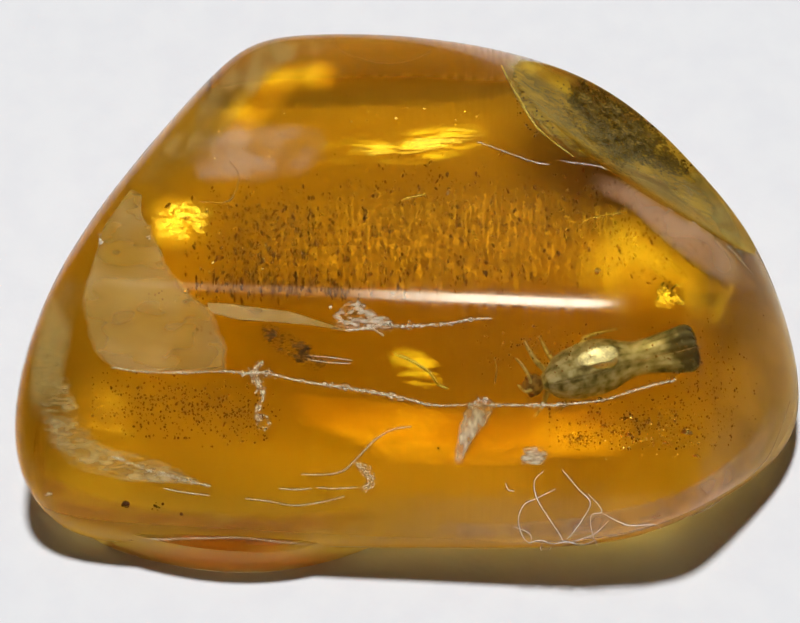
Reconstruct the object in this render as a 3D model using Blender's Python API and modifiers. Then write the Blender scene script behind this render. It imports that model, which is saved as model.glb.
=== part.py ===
"""A pebble of clear amber, lying on its flat base, with an insect sealed in it.

The stone is worked out as a soft polyhedron: each of its broad faces is named by
the direction that it looks in and by its distance from the stone's centre, and one
formula rounds all the edges between them.  The stone is parted on a level plane at
the insect, so that the closed pocket round the insect can be modelled as two halves.

Sizes are in millimetres here and are turned to metres by MM.  +X is the stone's
right, +Y its back, and the origin is on the ground under the middle of the stone.
"""

import math

import bmesh
import bpy
import numpy as np
from mathutils import Matrix, Vector

MM = 0.001

OBJECT_NAME = "insect_in_amber"
GAP = 0.3  # clearance that separate solids keep from each other

# The stone: face name -> (azimuth in degrees, elevation in degrees, distance)
STONE_CENTRE = (-0.12, -0.6, 4.2)
STONE_SHARPNESS = 18
STONE_SUBDIVISIONS = 5
STONE_FACES = {
    "crown": (94, 80.5, 4.35),
    "brow": (-96, 60, 5.9),
    "front_slope": (-96, 42, 6.8),
    "front": (-94, 18, 8.5),
    "front_under": (-90, -38, 8.9),
    "underside": (0, -90, 4.6),
    "back": (92, 35, 10.5),
    "back_foot": (92, 0, 10.8),
    "back_under": (92, -35, 9.6),
    "back_right": (62, 31, 10.45),
    "back_right_slope": (62, 62, 6.6),
    "right_shoulder": (36, 24, 11.05),
    "right": (12, 12, 13.0),
    "right_tip": (-11, -8, 17.6),
    "right_under": (0, -40, 13.5),
    "right_front": (-38, -20, 14.65),
    "right_front_under": (-60, -28, 11.75),
    "right_front_slope": (-25, 40, 10.4),
    "left_shoulder": (145, 26, 10.6),
    "left_flank": (162, 16, 12.1),
    "left": (180, 2, 14.3),
    "left_tip": (205, -14, 17.2),
    "left_under": (180, -40, 12.0),
    "left_front": (236, -25, 14.6),
}

# The low lip that stands out under the stone's left front edge
LIP_CENTRE = (-5.52, -3.6, 1.2)
LIP_SHARPNESS = 9
LIP_SUBDIVISIONS = 4
LIP_FACES = {
    "top": (0, 90, 1.0),
    "underside": (0, -90, 1.8),
    "front": (254, -8, 6.8),
    "front_right": (280, -8, 6.6),
    "front_left": (232, -8, 8.9),
    "left": (205, -8, 9.6),
    "far_left": (180, -8, 7.4),
    "right": (305, -8, 7.0),
    "inner_right": (0, 0, 6.0),
    "inner_back": (100, 0, 5.0),
}

# The shallow dished scar on the right of the crown
SCAR_CENTRE = (8.58, 6.5, 9.3)
SCAR_RADII = (14.8, 6.8, 3.95)
SCAR_TURN = (-42.0, 10.5, -37.0)
SCAR_SUBDIVISIONS = 5

# The insect, in its own frame: +X from head to wing tips, +Z its back
INSECT_CENTRE = (6.73, -4.75, 5.7)
INSECT_TILT = 35.0  # lean towards the stone's front, about the stone's X
INSECT_YAW = 14.0  # turn in the leaning plane
INSECT_PITCH = 9.0  # how far the wing tips sink below that plane
INSECT_ROLL = 12.0  # roll about the insect's own length

# Body under its folded wings: (x, half width, top, bottom) from neck to wing tips
BODY_STATIONS = (
    (-2.20, 0.26, 0.30, -0.30),
    (-1.90, 0.50, 0.50, -0.48),
    (-1.30, 0.74, 0.66, -0.58),
    (-0.60, 0.90, 0.72, -0.62),
    (0.10, 0.86, 0.66, -0.56),
    (0.65, 0.68, 0.52, -0.40),
    (1.05, 0.52, 0.38, -0.22),
    (1.50, 0.58, 0.28, -0.08),
    (2.10, 0.76, 0.24, 0.00),
    (2.65, 0.80, 0.26, 0.05),
    (2.95, 0.52, 0.24, 0.08),
)
BODY_SIDES = 14
BODY_KEEL = 0.10  # how far the wings' meeting edges stand up, as a share of the height

HEAD_CENTRE = (-2.45, 0.02, 0.0)
HEAD_RADII = (0.42, 0.44, 0.38)
EYE_CENTRE = (-2.60, 0.33, 0.04)
EYE_RADIUS = 0.19

# Limbs: name -> points from the body outwards, all of one thickness
LIMB_RADIUS = 0.06
LIMBS = {
    "antenna_left": ((-2.6, 0.15, 0.2), (-2.72, 0.55, 0.32), (-2.9, 1.05, 0.25)),
    "antenna_right": ((-2.6, -0.12, 0.2), (-2.9, -0.1, 0.4), (-3.15, 0.25, 0.45)),
    "fore_leg_left": ((-1.9, 0.3, -0.2), (-2.35, 0.95, -0.1), (-2.5, 1.55, 0.1)),
    "fore_leg_right": ((-1.9, -0.3, -0.3), (-2.25, -0.85, -0.4), (-2.6, -1.05, -0.2)),
    "mid_leg_left": ((-1.5, 0.4, -0.3), (-1.75, 1.05, -0.45), (-1.9, 1.5, -0.2)),
    "mid_leg_right": ((-1.4, -0.4, -0.3), (-1.25, -0.95, -0.6), (-1.7, -1.25, -0.7)),
    "hind_leg_left": ((-0.9, 0.4, -0.4), (-0.1, 0.95, -0.75), (0.9, 0.95, -0.7)),
    "hind_leg_right": ((-0.9, -0.4, -0.4), (-0.2, -0.95, -0.75), (0.8, -0.85, -0.75)),
}

# The pocket in the stone that the insect lies in
POCKET_RADII = (1.6, 2.1, 1.4)
POCKET_STRETCH = 2.0  # how far each half of the pocket is drawn out along the insect

AMBER_COLOUR = (0.46, 0.17, 0.01, 1.0)
INSECT_COLOUR = (0.22, 0.22, 0.10, 1.0)


def millimetres(values):
    """Return a point or a size given in millimetres as a vector in metres."""
    return Vector(values) * MM


def direction(azimuth, elevation):
    """Return the unit vector of an azimuth and an elevation in degrees."""
    turn, rise = math.radians(azimuth), math.radians(elevation)
    return Vector((math.cos(rise) * math.cos(turn), math.cos(rise) * math.sin(turn), math.sin(rise)))


def reach(ray, faces, sharpness):
    """Return how far a soft polyhedron reaches along a unit vector, in millimetres."""
    total = 0.0
    for azimuth, elevation, distance in faces.values():
        facing = max(0.0, ray.dot(direction(azimuth, elevation)))
        total += (facing / distance) ** sharpness
    return total ** (-1.0 / sharpness)


def make_collection(name, hidden=False):
    """Add a collection to the scene and return it."""
    collection = bpy.data.collections.new(name)
    collection.hide_render = hidden
    bpy.context.scene.collection.children.link(collection)
    return collection


def make_material(name, colour, roughness, transmission=0.0):
    """Return a Principled material."""
    material = bpy.data.materials.new(name)
    material.use_nodes = True
    shader = material.node_tree.nodes["Principled BSDF"]
    shader.inputs["Base Color"].default_value = colour
    shader.inputs["Roughness"].default_value = roughness
    shader.inputs["Transmission Weight"].default_value = transmission
    return material


def add_object(name, mesh, collection, material=None):
    """Put a mesh in a collection as an object, shaded smooth up to its creases."""
    mesh.shade_smooth()
    mesh.set_sharp_from_angle(angle=math.radians(35))
    if material is not None:
        mesh.materials.append(material)
    piece = bpy.data.objects.new(name, mesh)
    collection.objects.link(piece)
    return piece


def add_cutter(name, mesh, collection):
    """Put a mesh in the cutters' collection as an object that only guides others."""
    cutter = add_object(name, mesh, collection)
    cutter.hide_render = True
    cutter.display_type = "WIRE"
    return cutter


def finish_mesh(name, shape):
    """Turn a bmesh into a mesh and free it."""
    mesh = bpy.data.meshes.new(name)
    shape.to_mesh(mesh)
    shape.free()
    return mesh


def soft_polyhedron(name, centre, faces, sharpness, subdivisions):
    """Return the mesh of a lump with broad named faces and rounded edges."""
    shape = bmesh.new()
    bmesh.ops.create_icosphere(shape, subdivisions=subdivisions, radius=1.0)
    for vert in shape.verts:
        ray = vert.co.normalized()
        vert.co = millimetres(centre) + ray * reach(ray, faces, sharpness) * MM
    return finish_mesh(name, shape)


def ellipsoid(name, centre, radii, turn=(0.0, 0.0, 0.0), subdivisions=3):
    """Return the mesh of a ball that is scaled, then turned, then moved."""
    shape = bmesh.new()
    bmesh.ops.create_icosphere(shape, subdivisions=subdivisions, radius=1.0)
    turned = Matrix.Identity(4)
    for angle, axis in zip(turn, "XYZ"):
        turned = Matrix.Rotation(math.radians(angle), 4, axis) @ turned
    place = Matrix.Translation(millimetres(centre)) @ turned @ Matrix.Diagonal((*millimetres(radii), 1.0))
    bmesh.ops.transform(shape, matrix=place, verts=shape.verts)
    return finish_mesh(name, shape)


def box(name, low, high):
    """Return the mesh of a box between two corners."""
    shape = bmesh.new()
    size = Vector(high) - Vector(low)
    middle = (Vector(high) + Vector(low)) / 2
    place = Matrix.Translation(millimetres(middle)) @ Matrix.Diagonal((*millimetres(size), 1.0))
    bmesh.ops.create_cube(shape, size=1.0, matrix=place)
    return finish_mesh(name, shape)


def insect_matrix():
    """Return the matrix that lays the insect's own frame in the stone."""
    lean = Matrix.Rotation(math.radians(INSECT_TILT), 4, "X")
    yaw = Matrix.Rotation(math.radians(INSECT_YAW), 4, "Z")
    pitch = Matrix.Rotation(math.radians(INSECT_PITCH), 4, "Y")
    roll = Matrix.Rotation(math.radians(INSECT_ROLL), 4, "X")
    return Matrix.Translation(millimetres(INSECT_CENTRE)) @ lean @ yaw @ pitch @ roll


def pocket(name):
    """Return the mesh of a ball drawn out along the insect, flattened to fit it."""
    shape = bmesh.new()
    along_x = Matrix.Rotation(math.radians(90), 4, "Y")
    bmesh.ops.create_uvsphere(shape, u_segments=24, v_segments=12, radius=1.0, matrix=along_x)
    for vert in shape.verts:
        side = 0.0 if abs(vert.co.x) < 0.01 else math.copysign(1.0, vert.co.x)
        vert.co = vert.co * Vector(POCKET_RADII) + Vector((side * POCKET_STRETCH, 0.0, 0.0))
        vert.co *= MM
    bmesh.ops.transform(shape, matrix=insect_matrix(), verts=shape.verts)
    return finish_mesh(name, shape)


def loft(name, stations, sides):
    """Return the mesh of a closed body through oval rings along X, with a low keel on top."""
    shape = bmesh.new()
    rings = []
    for x, half_width, top, bottom in stations:
        ring = []
        for step in range(sides):
            angle = 2 * math.pi * step / sides
            across, up = math.sin(angle), math.cos(angle)
            keel = BODY_KEEL * max(0.0, up) ** 8
            height = (top + bottom) / 2 + (top - bottom) / 2 * (up + keel)
            ring.append(shape.verts.new(millimetres((x, half_width * across, height))))
        rings.append(ring)
    for ring, following in zip(rings, rings[1:]):
        for side in range(sides):
            after = (side + 1) % sides
            shape.faces.new((ring[side], ring[after], following[after], following[side]))
    shape.faces.new(rings[0])
    shape.faces.new(rings[-1])
    bmesh.ops.recalc_face_normals(shape, faces=shape.faces)
    return finish_mesh(name, shape)


def tube(name, points, radius):
    """Return the mesh of a round tube along points, closed at both ends."""
    curve = bpy.data.curves.new(name, "CURVE")
    curve.dimensions = "3D"
    curve.bevel_depth = radius * MM
    curve.bevel_resolution = 1
    curve.use_fill_caps = True
    spline = curve.splines.new("POLY")
    spline.points.add(len(points) - 1)
    for knot, point in zip(spline.points, points):
        knot.co = (*millimetres(point), 1.0)
    guide = bpy.data.objects.new(name, curve)
    bpy.context.scene.collection.objects.link(guide)
    evaluated = guide.evaluated_get(bpy.context.evaluated_depsgraph_get())
    shape = bmesh.new()
    shape.from_mesh(evaluated.to_mesh())
    bpy.data.objects.remove(guide)
    bpy.data.curves.remove(curve)
    bmesh.ops.remove_doubles(shape, verts=shape.verts, dist=0.001 * MM)
    bmesh.ops.recalc_face_normals(shape, faces=shape.faces)
    return finish_mesh(name, shape)


def combine(piece, other, operation):
    """Join another object to a piece, or cut it from the piece, with a live Boolean."""
    step = piece.modifiers.new(f"{operation.lower()} {other.name}", "BOOLEAN")
    step.operation = operation
    step.solver = "EXACT"
    step.object = other


def build_stone_cutters(cutters):
    """Add what the stone's halves are joined to and cut by, and return it by name."""
    far = 40.0
    parting = INSECT_CENTRE[2]
    meshes = {
        "lip": soft_polyhedron("lip", LIP_CENTRE, LIP_FACES, LIP_SHARPNESS, LIP_SUBDIVISIONS),
        "scar": ellipsoid("scar", SCAR_CENTRE, SCAR_RADII, SCAR_TURN, SCAR_SUBDIVISIONS),
        "ground": box("ground", (-far, -far, -far), (far, far, 0.0)),
        "pocket": pocket("pocket"),
        "above_parting": box("above_parting", (-far, -far, parting - GAP / 2), (far, far, far)),
        "below_parting": box("below_parting", (-far, -far, -far), (far, far, parting + GAP / 2)),
    }
    return {name: add_cutter(name, mesh, cutters) for name, mesh in meshes.items()}


def build_stone(collection, cutters):
    """Add the lower and the upper half of the stone."""
    guides = build_stone_cutters(cutters)
    amber = make_material("clear amber", AMBER_COLOUR, 0.08, transmission=1.0)
    whole = soft_polyhedron(
        "stone", STONE_CENTRE, STONE_FACES, STONE_SHARPNESS, STONE_SUBDIVISIONS
    )
    lower = add_object("amber_lower", whole, collection, amber)
    combine(lower, guides["lip"], "UNION")
    for cutter in ("scar", "ground", "pocket", "above_parting"):
        combine(lower, guides[cutter], "DIFFERENCE")
    upper = add_object("amber_upper", whole.copy(), collection, amber)
    for cutter in ("scar", "pocket", "below_parting"):
        combine(upper, guides[cutter], "DIFFERENCE")


def build_insect(collection, cutters):
    """Add the insect: body under folded wings, head, eyes, legs and antennae, fused."""
    shell = make_material("insect shell", INSECT_COLOUR, 0.45)
    insect = add_object("insect", loft("insect", BODY_STATIONS, BODY_SIDES), collection, shell)
    smooth = insect.modifiers.new("round the body", "SUBSURF")
    smooth.levels = 1
    smooth.render_levels = 1
    meshes = [ellipsoid("head", HEAD_CENTRE, HEAD_RADII)]
    for side in (1, -1):
        x, y, z = EYE_CENTRE
        eye = ellipsoid("eye", (x, y * side, z), (EYE_RADIUS,) * 3, subdivisions=2)
        meshes.append(eye)
    meshes += [tube(name, points, LIMB_RADIUS) for name, points in LIMBS.items()]
    insect.matrix_world = insect_matrix()
    for mesh in meshes:
        bit = add_cutter(mesh.name, mesh, cutters)
        bit.matrix_world = insect_matrix()
        combine(insect, bit, "UNION")


def main():
    """Build the stone and the insect in an empty scene."""
    for item in list(bpy.data.objects):
        bpy.data.objects.remove(item, do_unlink=True)
    parts = make_collection(OBJECT_NAME)
    cutters = make_collection("cutters", hidden=True)
    build_stone(parts, cutters)
    build_insect(parts, cutters)


main()
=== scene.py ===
"""An insect in amber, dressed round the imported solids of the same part.

The clear stone is modelled again as one fine skin over both of its halves.  What lies
in it, such as the insect, healed cracks, flakes, bark dust and gold glints, is placed
by points of the main view: a point is followed through the skin, bent there as light
is, and taken to a depth in millimetres.

Sizes are in millimetres until they become mesh coordinates, which are metres.  +X is
the stone's right, +Y its back, and the origin is on the ground under its middle.
"""
import logging
import math
from dataclasses import dataclass, field
from enum import Enum
from typing import Any, Iterable, Sequence

import bpy
import numpy as np
from mathutils import Matrix, Vector, noise
from mathutils.bvhtree import BVHTree


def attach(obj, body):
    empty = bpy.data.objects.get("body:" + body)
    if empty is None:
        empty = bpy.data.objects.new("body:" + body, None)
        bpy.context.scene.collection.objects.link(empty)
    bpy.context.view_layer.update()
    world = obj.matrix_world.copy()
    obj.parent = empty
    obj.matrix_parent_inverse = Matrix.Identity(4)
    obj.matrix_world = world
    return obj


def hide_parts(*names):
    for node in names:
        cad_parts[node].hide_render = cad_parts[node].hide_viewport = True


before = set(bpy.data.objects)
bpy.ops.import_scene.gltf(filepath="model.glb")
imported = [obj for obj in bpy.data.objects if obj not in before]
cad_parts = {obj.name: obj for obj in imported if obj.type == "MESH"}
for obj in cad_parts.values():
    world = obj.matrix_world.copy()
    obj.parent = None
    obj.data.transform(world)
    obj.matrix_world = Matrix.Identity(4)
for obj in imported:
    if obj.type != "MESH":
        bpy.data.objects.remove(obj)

LOG = logging.getLogger("insect_in_amber")

MM = 0.001
PIXEL = 0.036  # mm of the stone that one pixel of the main view spans
AMBER_IOR = 1.54
BACK_LIGHT = (110.0, 82.0)  # azimuth and elevation of the light that shines through
NOISE_SPAN = (0.35, 0.65)  # values between which most of a noise pattern lies
LEAD = 2.0  # pixels ahead at which the direction of a grain is found
UP = Vector((0, 0, 1))

Tree = bpy.types.NodeTree
Node = bpy.types.Node
Socket = bpy.types.NodeSocket
Piece = bpy.types.Object
Point = Sequence[float]
Faces = dict[str, tuple[float, float, float]]


class Slot(Enum):
    """The kind of material that each finish is labelled with."""

    AMBER = "amber"
    INSECT = "insect"
    CRACK = "crack"
    DEBRIS = "debris"
    LINT = "lint"


# ---------------------------------------------------------------- small helpers


def linear(code: str) -> tuple[float, float, float, float]:
    """Turn an sRGB hex colour into linear RGBA.

    Args:
        code: Six hex digits, without a hash.

    Returns:
        Red, green, blue and a full alpha.
    """
    channels = [int(code[at:at + 2], 16) / 255 for at in (0, 2, 4)]
    bent = [c / 12.92 if c <= 0.04045 else ((c + 0.055) / 1.055) ** 2.4 for c in channels]
    return (*bent, 1.0)


def per_mm(size: float) -> float:
    """Return the pattern scale on Object coordinates for a detail of a size in mm."""
    return 1.0 / (size * MM)


def clamp(value: float, low: float = 0.0) -> float:
    """Return a value held between a low end and 1."""
    return min(1.0, max(low, value))


def hump(*offsets: float) -> float:
    """Return a soft bump of height 1 that is nearly gone where an offset reaches 2."""
    return math.exp(-sum(offset * offset for offset in offsets))


def direction(azimuth: float, elevation: float) -> Vector:
    """Return the unit vector of an azimuth and an elevation in degrees."""
    turn, rise = math.radians(azimuth), math.radians(elevation)
    return Vector((math.cos(rise) * math.cos(turn), math.cos(rise) * math.sin(turn), math.sin(rise)))


def refract(ray: Vector, normal: Vector, ratio: float = 1.0 / AMBER_IOR) -> Vector:
    """Bend a ray at a skin.

    Args:
        ray: Unit vector that travels towards the skin.
        normal: Unit normal on the side that the ray comes from.
        ratio: IOR of the side it comes from over that of the side it goes to.

    Returns:
        The bent unit vector, or the reflected one where no light gets through.
    """
    cosine = -ray.dot(normal)
    rest = 1.0 - ratio * ratio * (1.0 - cosine * cosine)
    if rest < 0.0:
        return ray + normal * (2.0 * cosine)
    return (ray * ratio + normal * (ratio * cosine - math.sqrt(rest))).normalized()


def basis(normal: Vector, lead: Vector) -> tuple[Vector, Vector, Vector]:
    """Return three directions at right angles: along lead, across, and the normal."""
    normal = normal.normalized()
    along = (lead - normal * lead.dot(normal)).normalized()
    return along, normal.cross(along), normal


def turned(angles: Iterable[float], axes: Iterable[str]) -> Matrix:
    """Return turns in degrees about fixed axes, made one after the other.

    Args:
        angles: The turns.
        axes: The letter of each turn's axis.

    Returns:
        The turns as one matrix.
    """
    turn = Matrix.Identity(4)
    for angle, axis in zip(angles, axes):
        turn = Matrix.Rotation(math.radians(angle), 4, axis) @ turn
    return turn


def smooth_path(points: Sequence[Point], count: int) -> list[tuple[float, ...]]:
    """Run an even Catmull-Rom path through points with any number of values each.

    Args:
        points: The points, each with the same number of values.
        count: How many points to return.

    Returns:
        The points of the path, first and last as given.
    """
    knots = [np.array(point, dtype=float) for point in points]
    knots = [2 * knots[0] - knots[1], *knots, 2 * knots[-1] - knots[-2]]
    spans = len(knots) - 3
    path = []
    for step in range(count):
        place = spans * step / max(1, count - 1)
        at = min(int(place), spans - 1)
        t = place - at
        a, b, c, d = knots[at:at + 4]
        value = 0.5 * (2 * b + (c - a) * t + (2 * a - 5 * b + 4 * c - d) * t * t
                       + (3 * b - a - 3 * c + d) * t ** 3)
        path.append(tuple(float(part) for part in value))
    return path


def grain(place: Point, size: float, seed: int = 0) -> float:
    """Return smooth noise of about -1 to 1 at a place, for a detail of a size in mm."""
    return noise.noise(Vector(place) / size + Vector((seed * 7.31, seed * 3.17, seed * 5.03)))


def link(name: str, data: Any) -> Piece:
    """Return a new object with some data, linked to the scene."""
    piece = bpy.data.objects.new(name, data)
    bpy.context.scene.collection.objects.link(piece)
    return piece


def deselect_all() -> None:
    """Leave nothing selected."""
    bpy.ops.object.select_all(action="DESELECT")


def activate(piece: Piece) -> None:
    """Select one object alone and make it the active one."""
    deselect_all()
    piece.select_set(True)
    bpy.context.view_layer.objects.active = piece


def apply_modifier(piece: Piece, kind: str, **settings: Any) -> None:
    """Add a modifier to a piece and apply it.

    Args:
        piece: The object.
        kind: The modifier's type.
        settings: Values of the modifier's own settings.
    """
    activate(piece)
    step = piece.modifiers.new(kind.lower(), kind)
    for name, value in settings.items():
        setattr(step, name, value)
    bpy.ops.object.modifier_apply(modifier=step.name)


def face_outward(piece: Piece, merge: float = 0.0) -> None:
    """Turn all faces of a closed piece outward.

    Args:
        piece: The object.
        merge: Millimetres within which points are merged first.
    """
    activate(piece)
    bpy.ops.object.mode_set(mode="EDIT")
    bpy.ops.mesh.select_all(action="SELECT")
    if merge > 0.0:
        bpy.ops.mesh.remove_doubles(threshold=merge * MM)
    bpy.ops.mesh.normals_make_consistent(inside=False)
    bpy.ops.object.mode_set(mode="OBJECT")


def get_points(piece: Piece) -> np.ndarray:
    """Return a mesh's points as rows of millimetres."""
    values = np.empty(len(piece.data.vertices) * 3)
    piece.data.vertices.foreach_get("co", values)
    return values.reshape(-1, 3) / MM


def set_points(piece: Piece, points: Sequence[Point]) -> None:
    """Move a mesh's points to rows of millimetres."""
    piece.data.vertices.foreach_set("co", (np.array(points) * MM).ravel())
    piece.data.update()


def set_attribute(piece: Piece, name: str, values: Iterable[float] | None = None,
                  same: float = 1.0) -> None:
    """Give each point of a mesh a number that its material can read.

    Args:
        piece: The object.
        name: The attribute's name.
        values: One number a point.
        same: The number of all points where no values are given.
    """
    numbers = [same] * len(piece.data.vertices) if values is None else list(values)
    layer = piece.data.attributes.new(name, "FLOAT", "POINT")
    layer.data.foreach_set("value", np.array(numbers, dtype=np.float32))


def settle(piece: Piece, angle: float = 60.0) -> None:
    """Put a finished piece's place in its mesh and shade it smooth up to its creases."""
    activate(piece)
    bpy.ops.object.transform_apply(location=True, rotation=True, scale=True)
    piece.data.shade_smooth()
    piece.data.set_sharp_from_angle(angle=math.radians(angle))


def join(name: str, parts: Sequence[Piece]) -> Piece:
    """Join objects into one that keeps the first one's place.

    Args:
        name: The joined object's name.
        parts: The objects, at least one.

    Returns:
        The joined object.
    """
    activate(parts[0])
    for part in parts:
        part.select_set(True)
    if len(parts) > 1:
        bpy.ops.object.join()
    parts[0].name = parts[0].data.name = name
    return parts[0]


def tube(name: str, points: Sequence[Point], radii: Sequence[float], sides: int) -> Piece:
    """Draw a round thread along points and turn it into a closed mesh.

    Args:
        name: The object's name.
        points: The thread's middle line, in millimetres.
        radii: Its radius at each point, in millimetres.
        sides: The bevel's resolution.

    Returns:
        The thread as a mesh object.
    """
    curve = bpy.data.curves.new(name, "CURVE")
    curve.dimensions = "3D"
    curve.bevel_depth = MM
    curve.bevel_resolution = sides
    curve.use_fill_caps = True
    spline = curve.splines.new("POLY")
    spline.points.add(len(points) - 1)
    for knot, point, radius in zip(spline.points, points, radii):
        knot.co = (*(Vector(point) * MM), 1.0)
        knot.radius = radius
    activate(link(name, curve))
    bpy.ops.object.convert(target="MESH")
    thread = bpy.context.object
    face_outward(thread, merge=0.0005)
    return thread


# --------------------------------------------------------------------- finishes


def feed(node: Node, inputs: dict[Any, Any] | Sequence[Any]) -> None:
    """Set a node's inputs to values, or link them to the sockets that feed them.

    Args:
        node: The node.
        inputs: A value or a socket for each input, by name or number, or in their order.
    """
    for key, value in inputs.items() if isinstance(inputs, dict) else enumerate(inputs):
        if isinstance(value, Socket):
            node.id_data.links.new(value, node.inputs[key])
        else:
            node.inputs[key].default_value = value


def add_node(tree: Tree, kind: str, inputs: dict[Any, Any] | Sequence[Any] = (),
             out: int | str = 0, stops: Sequence[tuple[float, str]] = (),
             **settings: Any) -> Socket:
    """Add a node with its settings and links.

    Args:
        tree: The node tree.
        kind: The node's type, without its "ShaderNode".
        inputs: A value or a socket for each input, by name or number, or in their order.
        out: The output that is wanted.
        stops: Position and hex colour of each mark, where the node has a colour ramp.
        settings: Values of the node's own settings.

    Returns:
        The output.
    """
    node = tree.nodes.new("ShaderNode" + kind)
    for name, value in settings.items():
        setattr(node, name, value)
    feed(node, inputs)
    for _ in stops[2:]:
        node.color_ramp.elements.new(0.5)
    for at, (position, code) in enumerate(stops):
        mark = node.color_ramp.elements[at]
        mark.position, mark.color = position, linear(code)
    return node.outputs[out]


@dataclass(frozen=True)
class Finish:
    """What every finish has: a material of its own, made once."""

    name: str = "finish"
    slot: Slot = Slot.DEBRIS

    def dress(self, piece: Piece, body: str = "root") -> Piece:
        """Put the finish on a piece that rides on a body of the frame, and return the piece."""
        piece.data.materials.clear()
        piece.data.materials.append(self.material())
        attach(piece, body)
        return piece

    def material(self) -> bpy.types.Material:
        """Return the finish's material, built at its first use."""
        if self.name in bpy.data.materials:
            return bpy.data.materials[self.name]
        material = bpy.data.materials.new(self.name)
        material.use_nodes = True
        tree = material.node_tree
        self.build(tree, tree.nodes["Principled BSDF"], tree.nodes["Material Output"])
        return material

    def build(self, tree: Tree, shader: Node, output: Node) -> None:
        """Set up the material's nodes."""


@dataclass(frozen=True)
class ClearAmber(Finish):
    """Polished fossil resin: clear honey gold that deepens with thickness.

    The eye sees a glossy skin with a soft glare on its ridge, brushed by fine polishing
    strokes, a stained broken scar, and a worn underside that blurs what the stone lies on.
    """

    name: str = "polished_clear_amber"
    slot: Slot = Slot.AMBER
    absorbed: tuple[float, float, float] = (0.030, 0.088, 0.37)  # red, green, blue per mm
    gleam: str = "A29C8C"
    # dull is also where the sheen fades towards the stone's ends: a painted dimming of the skin's reflections
    dull: str = "201A10"  # where the skin is worn or broken
    # rust also tints the right end's reflections warmer and darker: painted shade there
    rust: str = "F8F2D0"  # thin stain on broken and low faces
    worn_roughness: float = 0.40
    polish: tuple[float, float] = (0.10, 0.22)  # roughness in and between polishing strokes
    brushed: tuple[float, float] = (0.17, 0.36)  # the same, of the thin outer skin
    coat: float = 0.42
    coat_ior: tuple[float, float] = (1.5, 1.01)  # without and with a stain
    full_stain: float = 0.3
    stroke_size: float = 0.16
    stroke_stretch: tuple[float, float, float] = (1.0, 0.06, 0.06)
    stroke_turn: float = 8.0

    def build(self, tree: Tree, shader: Node, output: Node) -> None:
        """Set up the clear body, its skin and its depth of colour."""
        wear, sheen, stain = (add_node(tree, "Attribute", out="Fac", attribute_name=name)
                              for name in ("wear", "sheen", "stain"))
        where = add_node(tree, "TexCoord", out="Object")
        along = add_node(tree, "Mapping", {"Vector": where, "Scale": self.stroke_stretch,
                                           "Rotation": (0.0, 0.0, math.radians(self.stroke_turn))})
        strokes = add_node(tree, "TexNoise", {
            "Vector": along, "Scale": per_mm(self.stroke_size), "Detail": 1.0})
        polish, brushed = (add_node(tree, "MapRange", (strokes, *NOISE_SPAN, *ends))
                           for ends in (self.polish, self.brushed))
        worn = add_node(tree, "Math", (wear, self.worn_roughness), operation="MULTIPLY")
        shiny = add_node(tree, "Math", (sheen, self.coat), operation="MULTIPLY")
        feed(shader, {
            "Base Color": (1.0, 1.0, 1.0, 1.0), "Transmission Weight": 1.0, "IOR": AMBER_IOR,
            "Specular Tint": add_node(tree, "ValToRGB", (sheen,), stops=(
                (0.0, self.dull), (1.0, self.gleam))),
            "Coat Weight": add_node(tree, "Math", (stain, shiny), operation="MAXIMUM"),
            "Coat Tint": add_node(tree, "ValToRGB", (stain,), stops=(
                (0.0, "FFFFFF"), (self.full_stain, self.rust))),
            "Coat IOR": add_node(tree, "MapRange", (stain, 0.0, self.full_stain, *self.coat_ior)),
            "Coat Roughness": brushed,
            "Roughness": add_node(tree, "Math", (worn, polish), operation="MAXIMUM"),
        })
        strongest = max(self.absorbed) / (0.999 * MM)
        left = tuple(1.0 - value / MM / strongest for value in self.absorbed)
        feed(output, {"Volume": add_node(tree, "VolumeAbsorption", ((*left, 1.0), strongest))})


@dataclass(frozen=True)
class Paper(Finish):
    """White drawing paper: matt, faintly mottled, with fine felt marks."""

    name: str = "white_paper"
    tone: str = "E7E8EA"
    shade: str = "E4E5E8"
    mottle_size: float = 1.6
    felt_size: float = 0.35
    felt_depth: float = 0.012

    def build(self, tree: Tree, shader: Node, output: Node) -> None:
        """Set up the mottled matt sheet."""
        where = add_node(tree, "TexCoord", out="Object")
        mottle, felt = (add_node(tree, "TexNoise", {
            "Vector": where, "Scale": per_mm(size), "Detail": detail,
        }) for size, detail in ((self.mottle_size, 2.0), (self.felt_size, 1.0)))
        feed(shader, {
            "Base Color": add_node(tree, "ValToRGB", (mottle,), stops=(
                (0.35, self.shade), (0.62, self.tone))),
            "Roughness": 0.9, "Specular IOR Level": 0.1,
            "Normal": add_node(tree, "Bump", {"Height": felt, "Distance": self.felt_depth * MM}),
        })


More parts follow.
